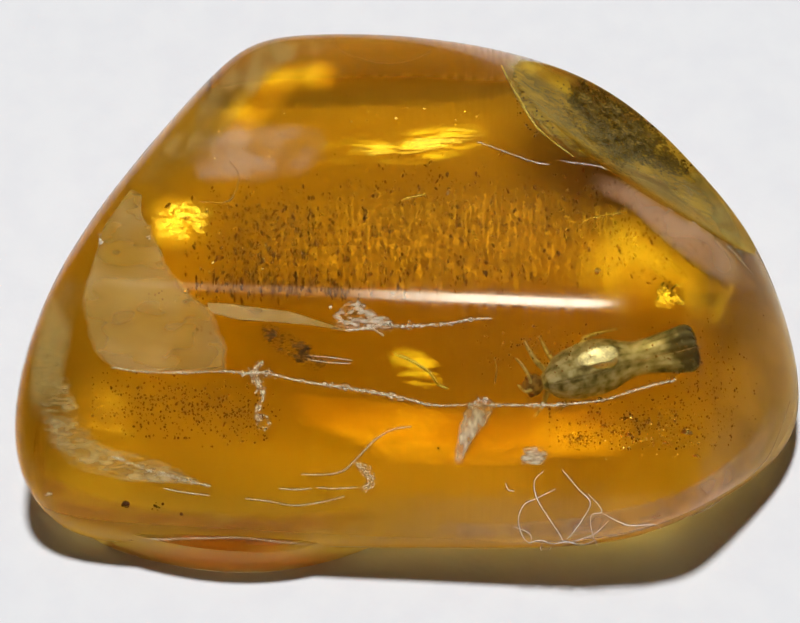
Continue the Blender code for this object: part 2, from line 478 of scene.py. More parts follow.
@dataclass(frozen=True)
class Film(Finish):
    """A healed crack in resin: a thin milky film, paler and denser where it is flaky.

    The eye sees a pale veil with cloudy and streaky patches, a ragged border and, on
    some, a whitish rim where the two sides of the crack meet.  Some films are no crack
    but painted light: a painted caustic glow, painted shade, a painted soft highlight
    and painted reflections.
    """

    slot: Slot = Slot.CRACK
    tone: str = "CDB98A"
    shade: str = "8A6B2A"
    cover: tuple[float, float] = (0.25, 0.6)
    grain_size: float = 0.5
    streak: tuple[float, float, float] = (1.0, 1.0, 1.0)
    turn: tuple[float, float, float] = (0.0, 0.0, 0.0)
    roughness: float = 0.4
    metallic: float = 0.0
    ragged: float = 0.25
    fade: float = 0.15
    rim: float = 0.0
    rim_tone: str = "E8DDD0"
    rim_cover: float = 0.9
    relief: float = 0.0
    smooth: bool = False  # clouds only, without fine streaks
    fine_share: float = 0.4  # of the fine streaks in the pattern
    cover_span: tuple[float, float] = (0.36, 0.64)  # pattern values of the least and most cover
    tone_span: tuple[float, float] = (0.38, 0.60)  # and of the shade and the tone

    def build(self, tree: Tree, shader: Node, output: Node) -> None:
        """Set up the cloudy film from its pattern and the piece's own distance to its rim."""
        where = add_node(tree, "TexCoord", out="Object")
        turn = tuple(math.radians(angle) for angle in self.turn)
        place = add_node(tree, "Mapping", {"Vector": where, "Scale": self.streak, "Rotation": turn})
        mixed = add_node(tree, "TexNoise", {
            "Vector": place, "Scale": per_mm(self.grain_size), "Detail": 1.0 if self.smooth else 2.0})
        if not self.smooth:
            fine = add_node(tree, "TexNoise", {
                "Vector": place, "Scale": per_mm(self.grain_size / 4), "Detail": 1.0})
            coarse = add_node(tree, "Math", (mixed, 1.0 - self.fine_share), operation="MULTIPLY")
            mixed = add_node(tree, "Math", (fine, self.fine_share, coarse), operation="MULTIPLY_ADD")
        inward = add_node(tree, "Attribute", out="Fac", attribute_name="inward")
        uneven = add_node(tree, "Math", (mixed, 0.5), operation="SUBTRACT")
        body = add_node(tree, "Math", (uneven, self.ragged, inward), operation="MULTIPLY_ADD")
        present = add_node(tree, "MapRange", (body, 0.0, self.fade, 0.0, 1.0),
                           interpolation_type="SMOOTHSTEP")
        cover = add_node(tree, "MapRange", (mixed, *self.cover_span, *self.cover))
        colour = add_node(tree, "ValToRGB", (mixed,), stops=tuple(
            zip(self.tone_span, (self.shade, self.tone))))
        if self.rim > 0.0:
            edge = add_node(tree, "MapRange", (body, 0.5 * self.rim, self.rim, 1.0, 0.0))
            pale = add_node(tree, "Math", (edge, self.rim_cover), operation="MULTIPLY")
            cover = add_node(tree, "Math", (cover, pale), operation="MAXIMUM")
            colour = add_node(tree, "Mix", {0: edge, 6: colour, 7: linear(self.rim_tone)}, out=2,
                              data_type="RGBA")
        feed(shader, {
            "Base Color": colour, "Roughness": self.roughness, "Metallic": self.metallic,
            "Alpha": add_node(tree, "Math", (cover, present), operation="MULTIPLY"),
        })
        if self.relief > 0.0:
            feed(shader, {"Normal": add_node(tree, "Bump", {"Height": mixed, "Distance": self.relief * MM})})


@dataclass(frozen=True)
class Crumb(Finish):
    """Grains of bark dust, tar or fibre, or pale grains that paint a rim highlight: small, matt, each a
    little different.
    """

    tone: str = "3A2408"
    shade: str = "140B03"
    size: float = 0.3
    roughness: float = 0.7
    cover: float = 1.0
    relief: float = 0.02

    def build(self, tree: Tree, shader: Node, output: Node) -> None:
        """Set up the mottled matt grain."""
        where = add_node(tree, "TexCoord", out="Object")
        mottle = add_node(tree, "TexNoise", {"Vector": where, "Scale": per_mm(self.size), "Detail": 3.0})
        feed(shader, {
            "Base Color": add_node(tree, "ValToRGB", (mottle,), stops=tuple(
                zip(NOISE_SPAN, (self.shade, self.tone)))),
            "Roughness": self.roughness, "Alpha": self.cover,
            "Normal": add_node(tree, "Bump", {"Height": mottle, "Distance": self.relief * MM}),
        })


@dataclass(frozen=True)
class Cuticle(Finish):
    """Insect cuticle under resin: olive grey, mottled and veined, with a waxy gloss.

    The eye sees pale greenish panels, darker veins and blots, and a silvery sheen
    where a film of air lies on the shell.
    """

    slot: Slot = Slot.INSECT
    tone: str = "F8F8FF"
    middle: str = "E8E6DA"
    shade: str = "969078"
    size: float = 0.32
    roughness: float = 0.3
    metallic: float = 0.0
    cover: float = 1.0
    wax: float = 0.4
    relief: float = 0.03
    blot_depth: float = 0.24
    marks: tuple[float, float, float] = (0.30, 0.47, 0.60)  # pattern values of shade, middle and tone

    def build(self, tree: Tree, shader: Node, output: Node) -> None:
        """Set up the mottled shell with its darker blots."""
        where = add_node(tree, "TexCoord", out="Object")
        mottle = add_node(tree, "TexNoise", {"Vector": where, "Scale": per_mm(self.size), "Detail": 5.0})
        blot = add_node(tree, "Attribute", out="Fac", attribute_name="blot")
        darker = add_node(tree, "Math", (blot, self.blot_depth), operation="MULTIPLY")
        value = add_node(tree, "Math", (mottle, darker), operation="SUBTRACT")
        feed(shader, {
            "Base Color": add_node(tree, "ValToRGB", (value,), stops=tuple(
                zip(self.marks, (self.shade, self.middle, self.tone)))),
            "Roughness": add_node(tree, "MapRange", (
                mottle, *NOISE_SPAN, self.roughness * 1.5, self.roughness * 0.7)),
            "Metallic": self.metallic, "Alpha": self.cover, "Coat Weight": self.wax,
            "Normal": add_node(tree, "Bump", {"Height": mottle, "Distance": self.relief * MM}),
        })


# ------------------------------------------------------------ the view and studio


@dataclass
class Viewpoint:
    """The main camera: where it stands, and the line of sight of each point of its view."""

    aim: Point = (-0.39, -1.58, 4.6)
    elevation: float = 55.0
    distance: float = 170.0
    lens: float = 212.5
    sensor: float = 36.0
    width: int = 800
    height: int = 623

    def back(self) -> Vector:
        """Return the unit vector from the aim to the camera."""
        rise = math.radians(self.elevation)
        return Vector((0.0, -math.cos(rise), math.sin(rise)))

    def eye(self) -> Vector:
        """Return the camera's place in millimetres."""
        return Vector(self.aim) + self.back() * self.distance

    def ray(self, x: float, y: float) -> Vector:
        """Return the unit line of sight of a point of the view, in pixels from its top left."""
        across = (x + 0.5 - self.width / 2) / self.width * self.sensor
        up = -(y + 0.5 - self.height / 2) / self.width * self.sensor
        back = self.back()
        right = Vector((1.0, 0.0, 0.0))
        return (right * across + back.cross(right) * up - back * self.lens).normalized()

    def build(self) -> None:
        """Add the camera and make it the scene's own."""
        data = bpy.data.cameras.new("view")
        data.lens, data.sensor_width = self.lens, self.sensor
        data.clip_start, data.clip_end = 0.005, 5.0
        camera = link("view", data)
        camera.location = self.eye() * MM
        camera.rotation_euler = self.back().to_track_quat("Z", "Y").to_euler()
        bpy.context.scene.camera = camera


@dataclass(frozen=True)
class Lamp:
    """One soft studio light, and which of a surface's answers to light it takes part in."""

    name: str
    azimuth: float
    elevation: float
    size: tuple[float, float]  # mm across and up
    power: float
    on_matt: bool = True
    in_gloss: bool = True
    through: bool = True
    distance: float = 350.0

    def build(self) -> None:
        """Add the light, aimed at the stone."""
        data = bpy.data.lights.new(self.name, "AREA")
        data.shape = "ELLIPSE"
        data.size, data.size_y = (side * MM for side in self.size)
        data.energy = self.power
        lamp = link(self.name, data)
        where = direction(self.azimuth, self.elevation)
        lamp.location = where * self.distance * MM
        lamp.rotation_euler = where.to_track_quat("Z", "Y").to_euler()
        lamp.visible_diffuse = self.on_matt
        lamp.visible_glossy = self.in_gloss
        lamp.visible_transmission = self.through


@dataclass
class Studio:
    """The pale floor, the lights and the room's faint glow."""

    floor_size: float = 1.2
    floor_lift: float = 0.005  # mm that the stone's base presses into the paper
    glow: float = 0.04
    glow_tone: str = "FFF2EA"
    lamps: tuple[Lamp, ...] = (
        Lamp("key", 111, 84, (150, 150), 22.0, in_gloss=False, through=False, distance=1500),
        Lamp("shine_through", *BACK_LIGHT, (100, 100), 1.98, on_matt=False, in_gloss=False),
        Lamp("glint", 86.5, 69, (28, 18), 0.011, on_matt=False, through=False),
    )

    def build(self) -> None:
        """Add the floor, the lights and the world."""
        bpy.ops.mesh.primitive_plane_add(size=self.floor_size, location=(0, 0, self.floor_lift * MM))
        floor = bpy.context.object
        floor.name = "floor"
        settle(floor)
        floor.data.materials.append(Paper().material())
        for lamp in self.lamps:
            lamp.build()
        world = bpy.data.worlds.new("room")
        world.use_nodes = True
        feed(world.node_tree.nodes["Background"], {"Color": linear(self.glow_tone), "Strength": self.glow})
        bpy.context.scene.world = world
        bpy.context.scene.view_settings.view_transform = "Standard"


# -------------------------------------------------------------------- the stone


@dataclass
class SoftLump:
    """A lump with broad named faces, (azimuth, elevation, distance), and rounded edges."""

    centre: Point
    faces: Faces
    sharpness: float
    subdivisions: int
    wave: float = 0.0  # mm that its polished skin rises and sinks by
    wave_size: float = 3.0

    def build(self, name: str) -> Piece:
        """Draw an icosphere out to the lump's skin.

        Args:
            name: The object's name.

        Returns:
            The lump.
        """
        bpy.ops.mesh.primitive_ico_sphere_add(subdivisions=self.subdivisions, radius=MM)
        lump = bpy.context.object
        lump.name = name
        rays = get_points(lump)
        rays /= np.linalg.norm(rays, axis=1)[:, None]
        total = np.zeros(len(rays))
        for azimuth, elevation, distance in self.faces.values():
            facing = rays @ np.array(direction(azimuth, elevation))
            total += (np.clip(facing, 0.0, None) / distance) ** self.sharpness
        reach = total ** (-1.0 / self.sharpness)
        if self.wave > 0.0:
            reach += [self.wave * grain(place, self.wave_size) for place in rays * reach[:, None]]
        set_points(lump, rays * reach[:, None] + np.array(self.centre))
        return lump


@dataclass
class Stone:
    """The clear stone: body, low lip under its left front edge, and a dished scar."""

    body: SoftLump = field(default_factory=lambda: SoftLump((-0.12, -0.6, 4.2), {
        "crown": (94, 80.5, 4.35), "brow": (-96, 60, 5.9), "front_slope": (-96, 42, 6.8),
        "front": (-94, 18, 8.5), "front_under": (-90, -38, 8.9), "underside": (0, -90, 4.6),
        "back": (92, 35, 10.5), "back_foot": (92, 0, 10.8), "back_under": (92, -35, 9.6),
        "back_right": (62, 31, 10.45), "back_right_slope": (62, 62, 6.6),
        "right_shoulder": (36, 24, 11.05), "right": (12, 12, 13.0), "right_tip": (-11, -8, 17.6),
        "right_under": (0, -40, 13.5), "right_front": (-38, -20, 14.65),
        "right_front_under": (-60, -28, 11.75), "right_front_slope": (-25, 40, 10.4),
        "left_shoulder": (145, 26, 10.6), "left_flank": (162, 16, 12.1), "left": (180, 2, 14.3),
        "left_tip": (205, -14, 17.2), "left_under": (180, -40, 12.0), "left_front": (236, -25, 14.6),
    }, 18, 7, wave=0.015))
    lip: SoftLump = field(default_factory=lambda: SoftLump((-5.52, -3.6, 1.2), {
        "top": (0, 90, 1.0), "underside": (0, -90, 1.8), "front": (254, -8, 6.8),
        "front_right": (280, -8, 6.6), "front_left": (232, -8, 8.9), "left": (205, -8, 9.6),
        "far_left": (180, -8, 7.4), "right": (305, -8, 7.0), "inner_right": (0, 0, 6.0),
        "inner_back": (100, 0, 5.0),
    }, 9, 6))
    scar_centre: Point = (8.58, 6.5, 9.3)
    scar_radii: Point = (14.8, 6.8, 3.95)
    scar_turn: Point = (-42.0, 10.5, -37.0)
    scar_edge: float = 0.004  # share of the ball's radius within which the skin is the scar's
    ground_size: float = 80.0
    finish: ClearAmber = ClearAmber()
    # where the skin changes: mm at which a change is full or begins, and mm that it takes
    foot: tuple[float, float] = (3.0, 0.7)
    # the stain at the right end is painted shade on the reflections, as the floor beside that end lies in
    # shadow
    shaded_right_end: tuple[float, float] = (10.0, 2.5)
    # the sheen fades towards both ends: a painted dimming of the skin's reflections, so that the ridge
    # highlight shows only in the middle
    sheen_start: tuple[float, float] = (-2.5, 5.0)
    sheen_end: tuple[float, float] = (9.5, 3.0)
    least_sheen: float = 0.35
    # upward part of the normal under which the skin is worn, in front and behind, and its fade
    worn_limits: tuple[float, float] = (0.05, 0.75)
    worn_fade: float = 0.35

    def scar_matrix(self) -> Matrix:
        """Return the matrix that takes a ball of 1 mm to the scar's turned ball, in mm."""
        turn, size = turned(self.scar_turn, "XYZ"), Matrix.Diagonal((*self.scar_radii, 1.0))
        return Matrix.Translation(self.scar_centre) @ turn @ size

    def scar(self) -> Piece:
        """Return the turned ball that dishes the crown's right."""
        bpy.ops.mesh.primitive_ico_sphere_add(subdivisions=6, radius=1.0)
        ball = bpy.context.object
        ball.data.transform(Matrix.Scale(MM, 4) @ self.scar_matrix())
        return ball

    def ground(self) -> Piece:
        """Return the block that levels the stone's underside."""
        size = self.ground_size * MM
        bpy.ops.mesh.primitive_cube_add(size=size, location=(0, 0, -size / 2))
        return bpy.context.object

    def wear_down(self, stone: Piece) -> None:
        """Mark how worn and how stained each point of the skin is, and where it keeps its sheen.

        Args:
            stone: The stone in its final shape.
        """
        marks: dict[str, list[float]] = {"wear": [], "sheen": [], "stain": []}
        to_ball = self.scar_matrix().inverted()
        for vert in stone.data.vertices:
            place, rise = vert.co / MM, vert.normal.z
            broken = abs((to_ball @ place).length - 1.0) < self.scar_edge
            low = clamp((self.foot[0] - place.z) / self.foot[1])
            limit = self.worn_limits[0] if vert.normal.y < 0.2 else self.worn_limits[1]
            wear = max(low, clamp((limit - rise) / self.worn_fade))
            # painted dimming of reflections towards both ends, not wear
            bright = clamp((place.x - self.sheen_start[0]) / self.sheen_start[1])
            bright *= clamp((self.sheen_end[0] - place.x) / self.sheen_end[1], self.least_sheen)
            # painted shade: the right end's stain dims and warms its reflections
            shaded_right_end = clamp((place.x - self.shaded_right_end[0]) / self.shaded_right_end[1])
            marks["wear"].append(wear)
            marks["sheen"].append(0.0 if broken else (1.0 - wear) * bright)
            marks["stain"].append(1.0 if broken else 0.5 * max(low, shaded_right_end) * (rise > -0.4))
        for name, values in marks.items():
            set_attribute(stone, name, values)

    def build(self) -> Piece:
        """Make the stone, dress it, and let it stand for both halves.

        Returns:
            The stone.
        """
        stone = self.body.build("amber")
        for tool, operation in ((self.lip.build("lip"), "UNION"), (self.scar(), "DIFFERENCE"),
                                (self.ground(), "DIFFERENCE")):
            apply_modifier(stone, "BOOLEAN", operation=operation, solver="EXACT", object=tool)
            bpy.data.objects.remove(tool)
        settle(stone, 40.0)
        self.wear_down(stone)
        self.finish.dress(stone)
        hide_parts("amber_lower", "amber_upper")
        return stone


class Sight:
    """Finds places on and in the stone behind points of the main view."""

    def __init__(self, view: Viewpoint, stone: Piece) -> None:
        """Keep the view and a search tree of the stone's skin."""
        self.view = view
        faces = [tuple(face.vertices) for face in stone.data.polygons]
        self.tree = BVHTree.FromPolygons([Vector(point) for point in get_points(stone)], faces)

    def skin(self, x: float, y: float) -> tuple[Vector, Vector] | None:
        """Return the place and the normal of the skin behind a point, or None beside the stone."""
        place, normal, _, _ = self.tree.ray_cast(self.view.eye(), self.view.ray(x, y))
        return None if place is None else (place, normal)

    def on(self, x: float, y: float, lift: float = 0.0) -> Vector:
        """Return the place that a point looks at on the skin, lifted by some millimetres.

        Args:
            x: Pixels from the view's left.
            y: Pixels from its top.
            lift: Distance from the skin along its normal.

        Returns:
            The place.  Beside the stone, it is the nearest place to the line of sight.
        """
        hit = self.skin(x, y)
        if hit:
            return hit[0] + hit[1] * lift
        eye, ray = self.view.eye(), self.view.ray(x, y)
        place = eye + ray * (Vector(self.view.aim) - eye).dot(ray)
        for _ in range(4):
            near, _, _, _ = self.tree.find_nearest(place)
            place = eye + ray * (near - eye).dot(ray)
        return place

    def inside(self, x: float, y: float, depth: float, margin: float = 0.93, edge: float = 0.3) -> Vector:
        """Return the place at a depth under the skin, along the bent line of sight.

        Args:
            x: Pixels from the view's left.
            y: Pixels from its top.
            depth: Millimetres behind the skin.
            margin: The largest share of the way through the stone.
            edge: The largest depth beside the stone.

        Returns:
            The place.  Beside the stone, it lies straight under the nearest skin.
        """
        hit = self.skin(x, y)
        if hit is None:
            near, normal, _, _ = self.tree.find_nearest(self.on(x, y))
            return near - normal * min(depth, edge)
        place, normal = hit
        inward = refract(self.view.ray(x, y), normal)
        _, _, _, through = self.tree.ray_cast(place + inward * 0.01, inward)
        return place + inward * min(depth, margin * (through or depth))

    def level(self, x: float, y: float, height: float) -> Vector:
        """Return the place at a height above the ground, along the bent line of sight."""
        place, normal = self.skin(x, y) or (self.on(x, y), UP)
        inward = refract(self.view.ray(x, y), normal)
        return self.inside(x, y, max(0.12, (height - place.z) / min(-0.1, inward.z)))

    def flash(self, x: float, y: float) -> Vector:
        """Return the normal of a face in the stone that throws the back light to the view."""
        hit = self.skin(x, y)
        toward_view = -refract(self.view.ray(x, y), hit[1] if hit else UP)
        return (toward_view - refract(-direction(*BACK_LIGHT), UP)).normalized()


# --------------------------------------------------- kinds of things in the stone


def finish_film(piece: Piece, name: str, finish: Finish, points: Sequence[Point],
                inward: Sequence[float], thickness: float, outward: bool = False) -> Piece:
    """Turn a flat grid into a dressed film.

    Args:
        piece: The grid.
        name: The film's name.
        finish: What it is dressed in.
        points: Where its points go, in millimetres.
        inward: How far each point is from the rim, for the finish.
        thickness: Millimetres.
        outward: Whether its faces have to be turned outward.

    Returns:
        The film.
    """
    piece.name = piece.data.name = name
    set_points(piece, points)
    set_attribute(piece, "inward", inward)
    apply_modifier(piece, "SOLIDIFY", thickness=thickness * MM, offset=0.0)
    if outward:
        face_outward(piece)
    settle(piece)
    return finish.dress(piece)


@dataclass
class Sheet:
    """A thin film in the stone, stretched over lines of (x, y, depth) view points.

    A point without a depth lies at the sheet's own.  Where the sheet is level, depths are
    heights above the ground.
    """

    name: str
    finish: Finish
    lines: tuple[tuple[Point, ...], ...]
    columns: int = 40
    rows: int = 10
    depth: float = 0.5
    thickness: float = 0.02
    least_depth: float = 0.05
    ripple: float = 0.0
    ripple_size: float = 1.0
    end_rate: float = 2.5  # how much sooner a crisp film is whole from its ends than from its sides
    seed: int = 1
    level: bool = False
    soft: float = 0.0  # power with which it thins out to all sides; 0 for a crisp rim

    def build(self, sight: Sight) -> Piece:
        """Lay a grid over the lines, give it its thickness and dress it.

        Args:
            sight: Finds places in the stone.

        Returns:
            The film.
        """
        bpy.ops.mesh.primitive_grid_add(x_subdivisions=self.columns, y_subdivisions=self.rows, size=1.0)
        sheet = bpy.context.object
        along = [smooth_path([(*point, self.depth)[:3] for point in line], self.columns + 1)
                 for line in self.lines]
        across = [smooth_path(station, self.rows + 1) for station in zip(*along)]
        points, inward = [], []
        for place in get_points(sheet) * MM + 0.5:
            column, row = round(place[0] * self.columns), round(place[1] * self.rows)
            x, y, depth = across[column][row]
            depth += self.ripple * grain((x, y, 0.0), self.ripple_size / PIXEL, self.seed)
            points.append(sight.level(x, y, depth) if self.level
                          else sight.inside(x, y, max(self.least_depth, depth)))
            u, v = column / self.columns, row / self.rows
            crisp = 2.0 * min(self.end_rate * u, self.end_rate * (1 - u), v, 1 - v)
            inward.append((16.0 * u * (1 - u) * v * (1 - v)) ** self.soft if self.soft else crisp)
        return finish_film(sheet, self.name, self.finish, points, inward, self.thickness, outward=True)


class Grains:
    """Copies of one small closed shape, gathered into a single mesh."""

    def __init__(self, name: str, finish: Finish, seed: int, flat: bool = False) -> None:
        """Model the shape once: a ball of a few faces, or a thin six-sided flake."""
        self.name, self.finish = name, finish
        self.random = np.random.default_rng(seed)
        if flat:
            bpy.ops.mesh.primitive_cylinder_add(vertices=6, radius=1.0, depth=0.12)
        else:
            bpy.ops.mesh.primitive_ico_sphere_add(subdivisions=1, radius=1.0)
        shape = bpy.context.object
        activate(shape)
        bpy.ops.object.mode_set(mode="EDIT")
        bpy.ops.mesh.select_all(action="SELECT")
        bpy.ops.mesh.quads_convert_to_tris()
        bpy.ops.object.mode_set(mode="OBJECT")
        self.points = get_points(shape) * MM
        self.faces = np.array([face.vertices[:] for face in shape.data.polygons])
        bpy.data.objects.remove(shape)
        self.placed: list[np.ndarray] = []

    def put(self, place: Vector, axes: Sequence[Vector], sizes: Point, rough: float = 0.28) -> None:
        """Add one copy.

        Args:
            place: Its middle, in millimetres.
            axes: Its own X, Y and Z directions.
            sizes: Its half sizes along them, in millimetres.
            rough: How far its corners stray, as a share of its size.
        """
        stray = self.random.standard_normal((len(self.points), 1)).clip(-1, 1)
        sized = np.array([axis * size for axis, size in zip(axes, sizes)])
        self.placed.append(self.points * (1.0 + rough * stray) @ sized + np.array(place))

    def build(self) -> Piece:
        """Return all copies as one dressed piece."""
        faces = np.concatenate([self.faces + len(self.points) * at for at in range(len(self.placed))])
        mesh = bpy.data.meshes.new(self.name)
        mesh.from_pydata((np.concatenate(self.placed) * MM).tolist(), [], faces.tolist())
        mesh.update()
        piece = link(self.name, mesh)
        set_attribute(piece, "inward")
        settle(piece, 30.0)
        return self.finish.dress(piece)


@dataclass
class Swarm:
    """Grains strewn in an area of the view, between two depths."""

    name: str
    finish: Finish
    patches: tuple[tuple[float, float, float, float, int], ...]  # x, y, half width, half height, count
    depth: tuple[float, float] = (1.0, 2.0)
    size: tuple[float, float] = (0.03, 0.07)
    stretch: float = 1.0  # length over width
    lean: float = 90.0  # degrees in the view that the grains' length rises at
    lean_spread: float = 12.0
    overrun: float = 1.3  # how far past a patch's half sizes its last grains lie
    flat: bool = False
    tilt: float = 0.5  # how far flakes turn away from the view
    seed: int = 1

    def build(self, sight: Sight) -> Piece:
        """Strew the grains, thinning out towards each patch's rim.

        Args:
            sight: Finds places in the stone.

        Returns:
            The grains as one piece.
        """
        grains = Grains(self.name, self.finish, self.seed, self.flat)
        draw = grains.random
        smallest, largest = self.size
        for x, y, wide, high, count in self.patches:
            for _ in range(count):
                u, v = draw.standard_normal(2).clip(-2, 2) / 2
                at_x, at_y = x + wide * u * self.overrun, y + high * v * self.overrun
                depth = draw.uniform(*self.depth)
                size = smallest + (largest - smallest) * draw.random() ** 2
                place = sight.inside(at_x, at_y, depth)
                lean = math.radians(self.lean + self.lean_spread * draw.standard_normal())
                tip = sight.inside(at_x + LEAD * math.cos(lean), at_y - LEAD * math.sin(lean), depth)
                toward = sight.flash(at_x, at_y) + Vector(draw.standard_normal(3)) * self.tilt
                sizes = (size * self.stretch, size, size * (0.8 if self.flat else 1.0))
                grains.put(place, basis(toward, tip - place), sizes)
        return grains.build()


@dataclass
class Trail:
    """Flakes strewn along lines of (x, y, half width in pixels, depth) view points.

    A point without a depth lies at the trail's own.
    """

    name: str
    finish: Finish
    lines: tuple[tuple[Point, ...], ...]
    depth: float
    per_pixel: float = 2.0
    size: tuple[float, float] = (0.04, 0.12)
    proportions: Point = (1.5, 0.8, 0.5)
    tilt: float = 0.25
    scatter: float = 0.05  # mm
    band: tuple[float, float] = (0.3, 2.0)  # share of its width that the band keeps, and that varies
    band_rate: float = 0.09  # how soon the width varies, per pixel
    least_depth: float = 0.05
    seed: int = 1

    def build(self, sight: Sight) -> Piece:
        """Strew the flakes along each line, in a band that widens and narrows.

        Args:
            sight: Finds places in the stone.

        Returns:
            The flakes as one piece.
        """
        grains = Grains(self.name, self.finish, self.seed, flat=True)
        draw = grains.random
        for line in self.lines:
            length = sum(math.dist(a[:2], b[:2]) for a, b in zip(line, line[1:]))
            path = smooth_path([(*point, self.depth)[:4] for point in line], max(4, int(length)))
            for _ in range(int(length * self.per_pixel)):
                at = int(draw.integers(0, len(path) - 1))
                x, y, half, depth = path[at]
                half *= self.band[0] + self.band[1] * abs(grain((at * self.band_rate, self.seed, 0), 1.0))
                ahead = Vector(path[at + 1][:2]) - Vector((x, y))
                side = Vector((-ahead.y, ahead.x)).normalized() * half * draw.normal() * 0.5
                x, y = x + side.x, y + side.y
                place = sight.inside(x, y, max(self.least_depth, depth + self.scatter * draw.normal()))
                tip = sight.inside(x + LEAD * ahead.x, y + LEAD * ahead.y, depth)
                toward = sight.flash(x, y) + Vector(draw.standard_normal(3)) * self.tilt
                size = draw.uniform(*self.size)
                sizes = [size * share for share in self.proportions]
                grains.put(place, basis(toward, tip - place), sizes)
        return grains.build()


@dataclass
class Threads:
    """Fine lines in or on the stone: each has a radius in mm, a depth and view points.

    Points that lie at another depth have it as their third value.  On the skin, a depth
    is a height over it.
    """

    name: str
    finish: Finish
    lines: tuple[tuple[float, float, tuple[Point, ...]], ...]
    on_skin: bool = False
    taper: float = 0.5
    sides: int = 1

    def build(self, sight: Sight) -> Piece:
        """Draw the lines as thin tubes.

        Args:
            sight: Finds places in and on the stone.

        Returns:
            The threads as one piece.
        """
        find = sight.on if self.on_skin else sight.inside
        parts = []
        for radius, depth, line in self.lines:
            last = max(6, 5 * len(line)) - 1
            path = smooth_path([(*point, depth)[:3] for point in line], last + 1)
            radii = [radius * (1 - self.taper * abs(2 * at / last - 1) ** 3) for at in range(last + 1)]
            parts.append(tube(self.name, [find(*point) for point in path], radii, self.sides))
        threads = join(self.name, parts)
        set_attribute(threads, "inward")
        settle(threads)
        return self.finish.dress(threads)


@dataclass
class Spangle:
    """A crack face that flashes: a small curved leaf set to throw a light's rays to the view."""

    x: float
    y: float
    depth: float
    length: float  # mm
    width: float
    lean: float = 0.0  # degrees in the view
    bend: float = 0.2  # mm that it bows along its length
    crumple: float = 0.03
    thickness: float = 0.02
    blunt: float = 2.5  # power that rounds its ends
    lead: float = 8.0  # pixels ahead at which its direction is found

    def build(self, name: str, sight: Sight, finish: Finish, seed: int) -> Piece:
        """Model the leaf where it flashes.

        Args:
            name: Its name.
            sight: Finds places in the stone.
            finish: What it is dressed in.
            seed: Number of its crumpling.

        Returns:
            The leaf.
        """
        place = sight.inside(self.x, self.y, self.depth)
        ahead = self.lead * direction(self.lean, 0.0)
        tip = sight.inside(self.x + ahead.x, self.y - ahead.y, self.depth)
        along, across, normal = basis(sight.flash(self.x, self.y), tip - place)
        bpy.ops.mesh.primitive_grid_add(x_subdivisions=24, y_subdivisions=8, size=2 * MM)
        leaf = bpy.context.object
        points, inward = [], []
        for u, v, _ in get_points(leaf).tolist():
            slim = math.sqrt(max(0.0, 1 - abs(u) ** self.blunt))
            lift = self.crumple * grain((u * 2.2, v * 1.5, 0), 0.8, seed) - self.bend * u * u
            points.append(place + along * (u * self.length / 2) + across * (v * slim * self.width / 2)
                          + normal * lift)
            inward.append(2.0 * min(1 - abs(u), 1 - abs(v)))
        return finish_film(leaf, name, finish, points, inward, self.thickness)


# ------------------------------------------------------------------- the insect

SHELL = Cuticle("dark_cuticle", tone="ECE8D8", middle="BEB89C", shade="665E44")
HEAD = Cuticle("brown_head_cuticle", tone="B89868", middle="7A5A34", shade="3A2414", size=0.25)
LIMB = Cuticle("limb_cuticle", tone="F6F2DC", middle="DCD4AC", shade="968C60", size=0.2)
MEMBRANE = Cuticle("wing_membrane", tone="DCDCEC", middle="ACA89C", shade="5A5644", cover=0.88,
                   roughness=0.4, metallic=0.05)
EYE = Cuticle("eye_facets", tone="8A4A2A", middle="5A2A18", shade="2A120A", size=0.08)
AIR = Cuticle("silvery_air_film", tone="FFFFFF", middle="F4F4F0", shade="D0D0C4", size=0.3,
              roughness=0.34, metallic=1.0, relief=0.01)


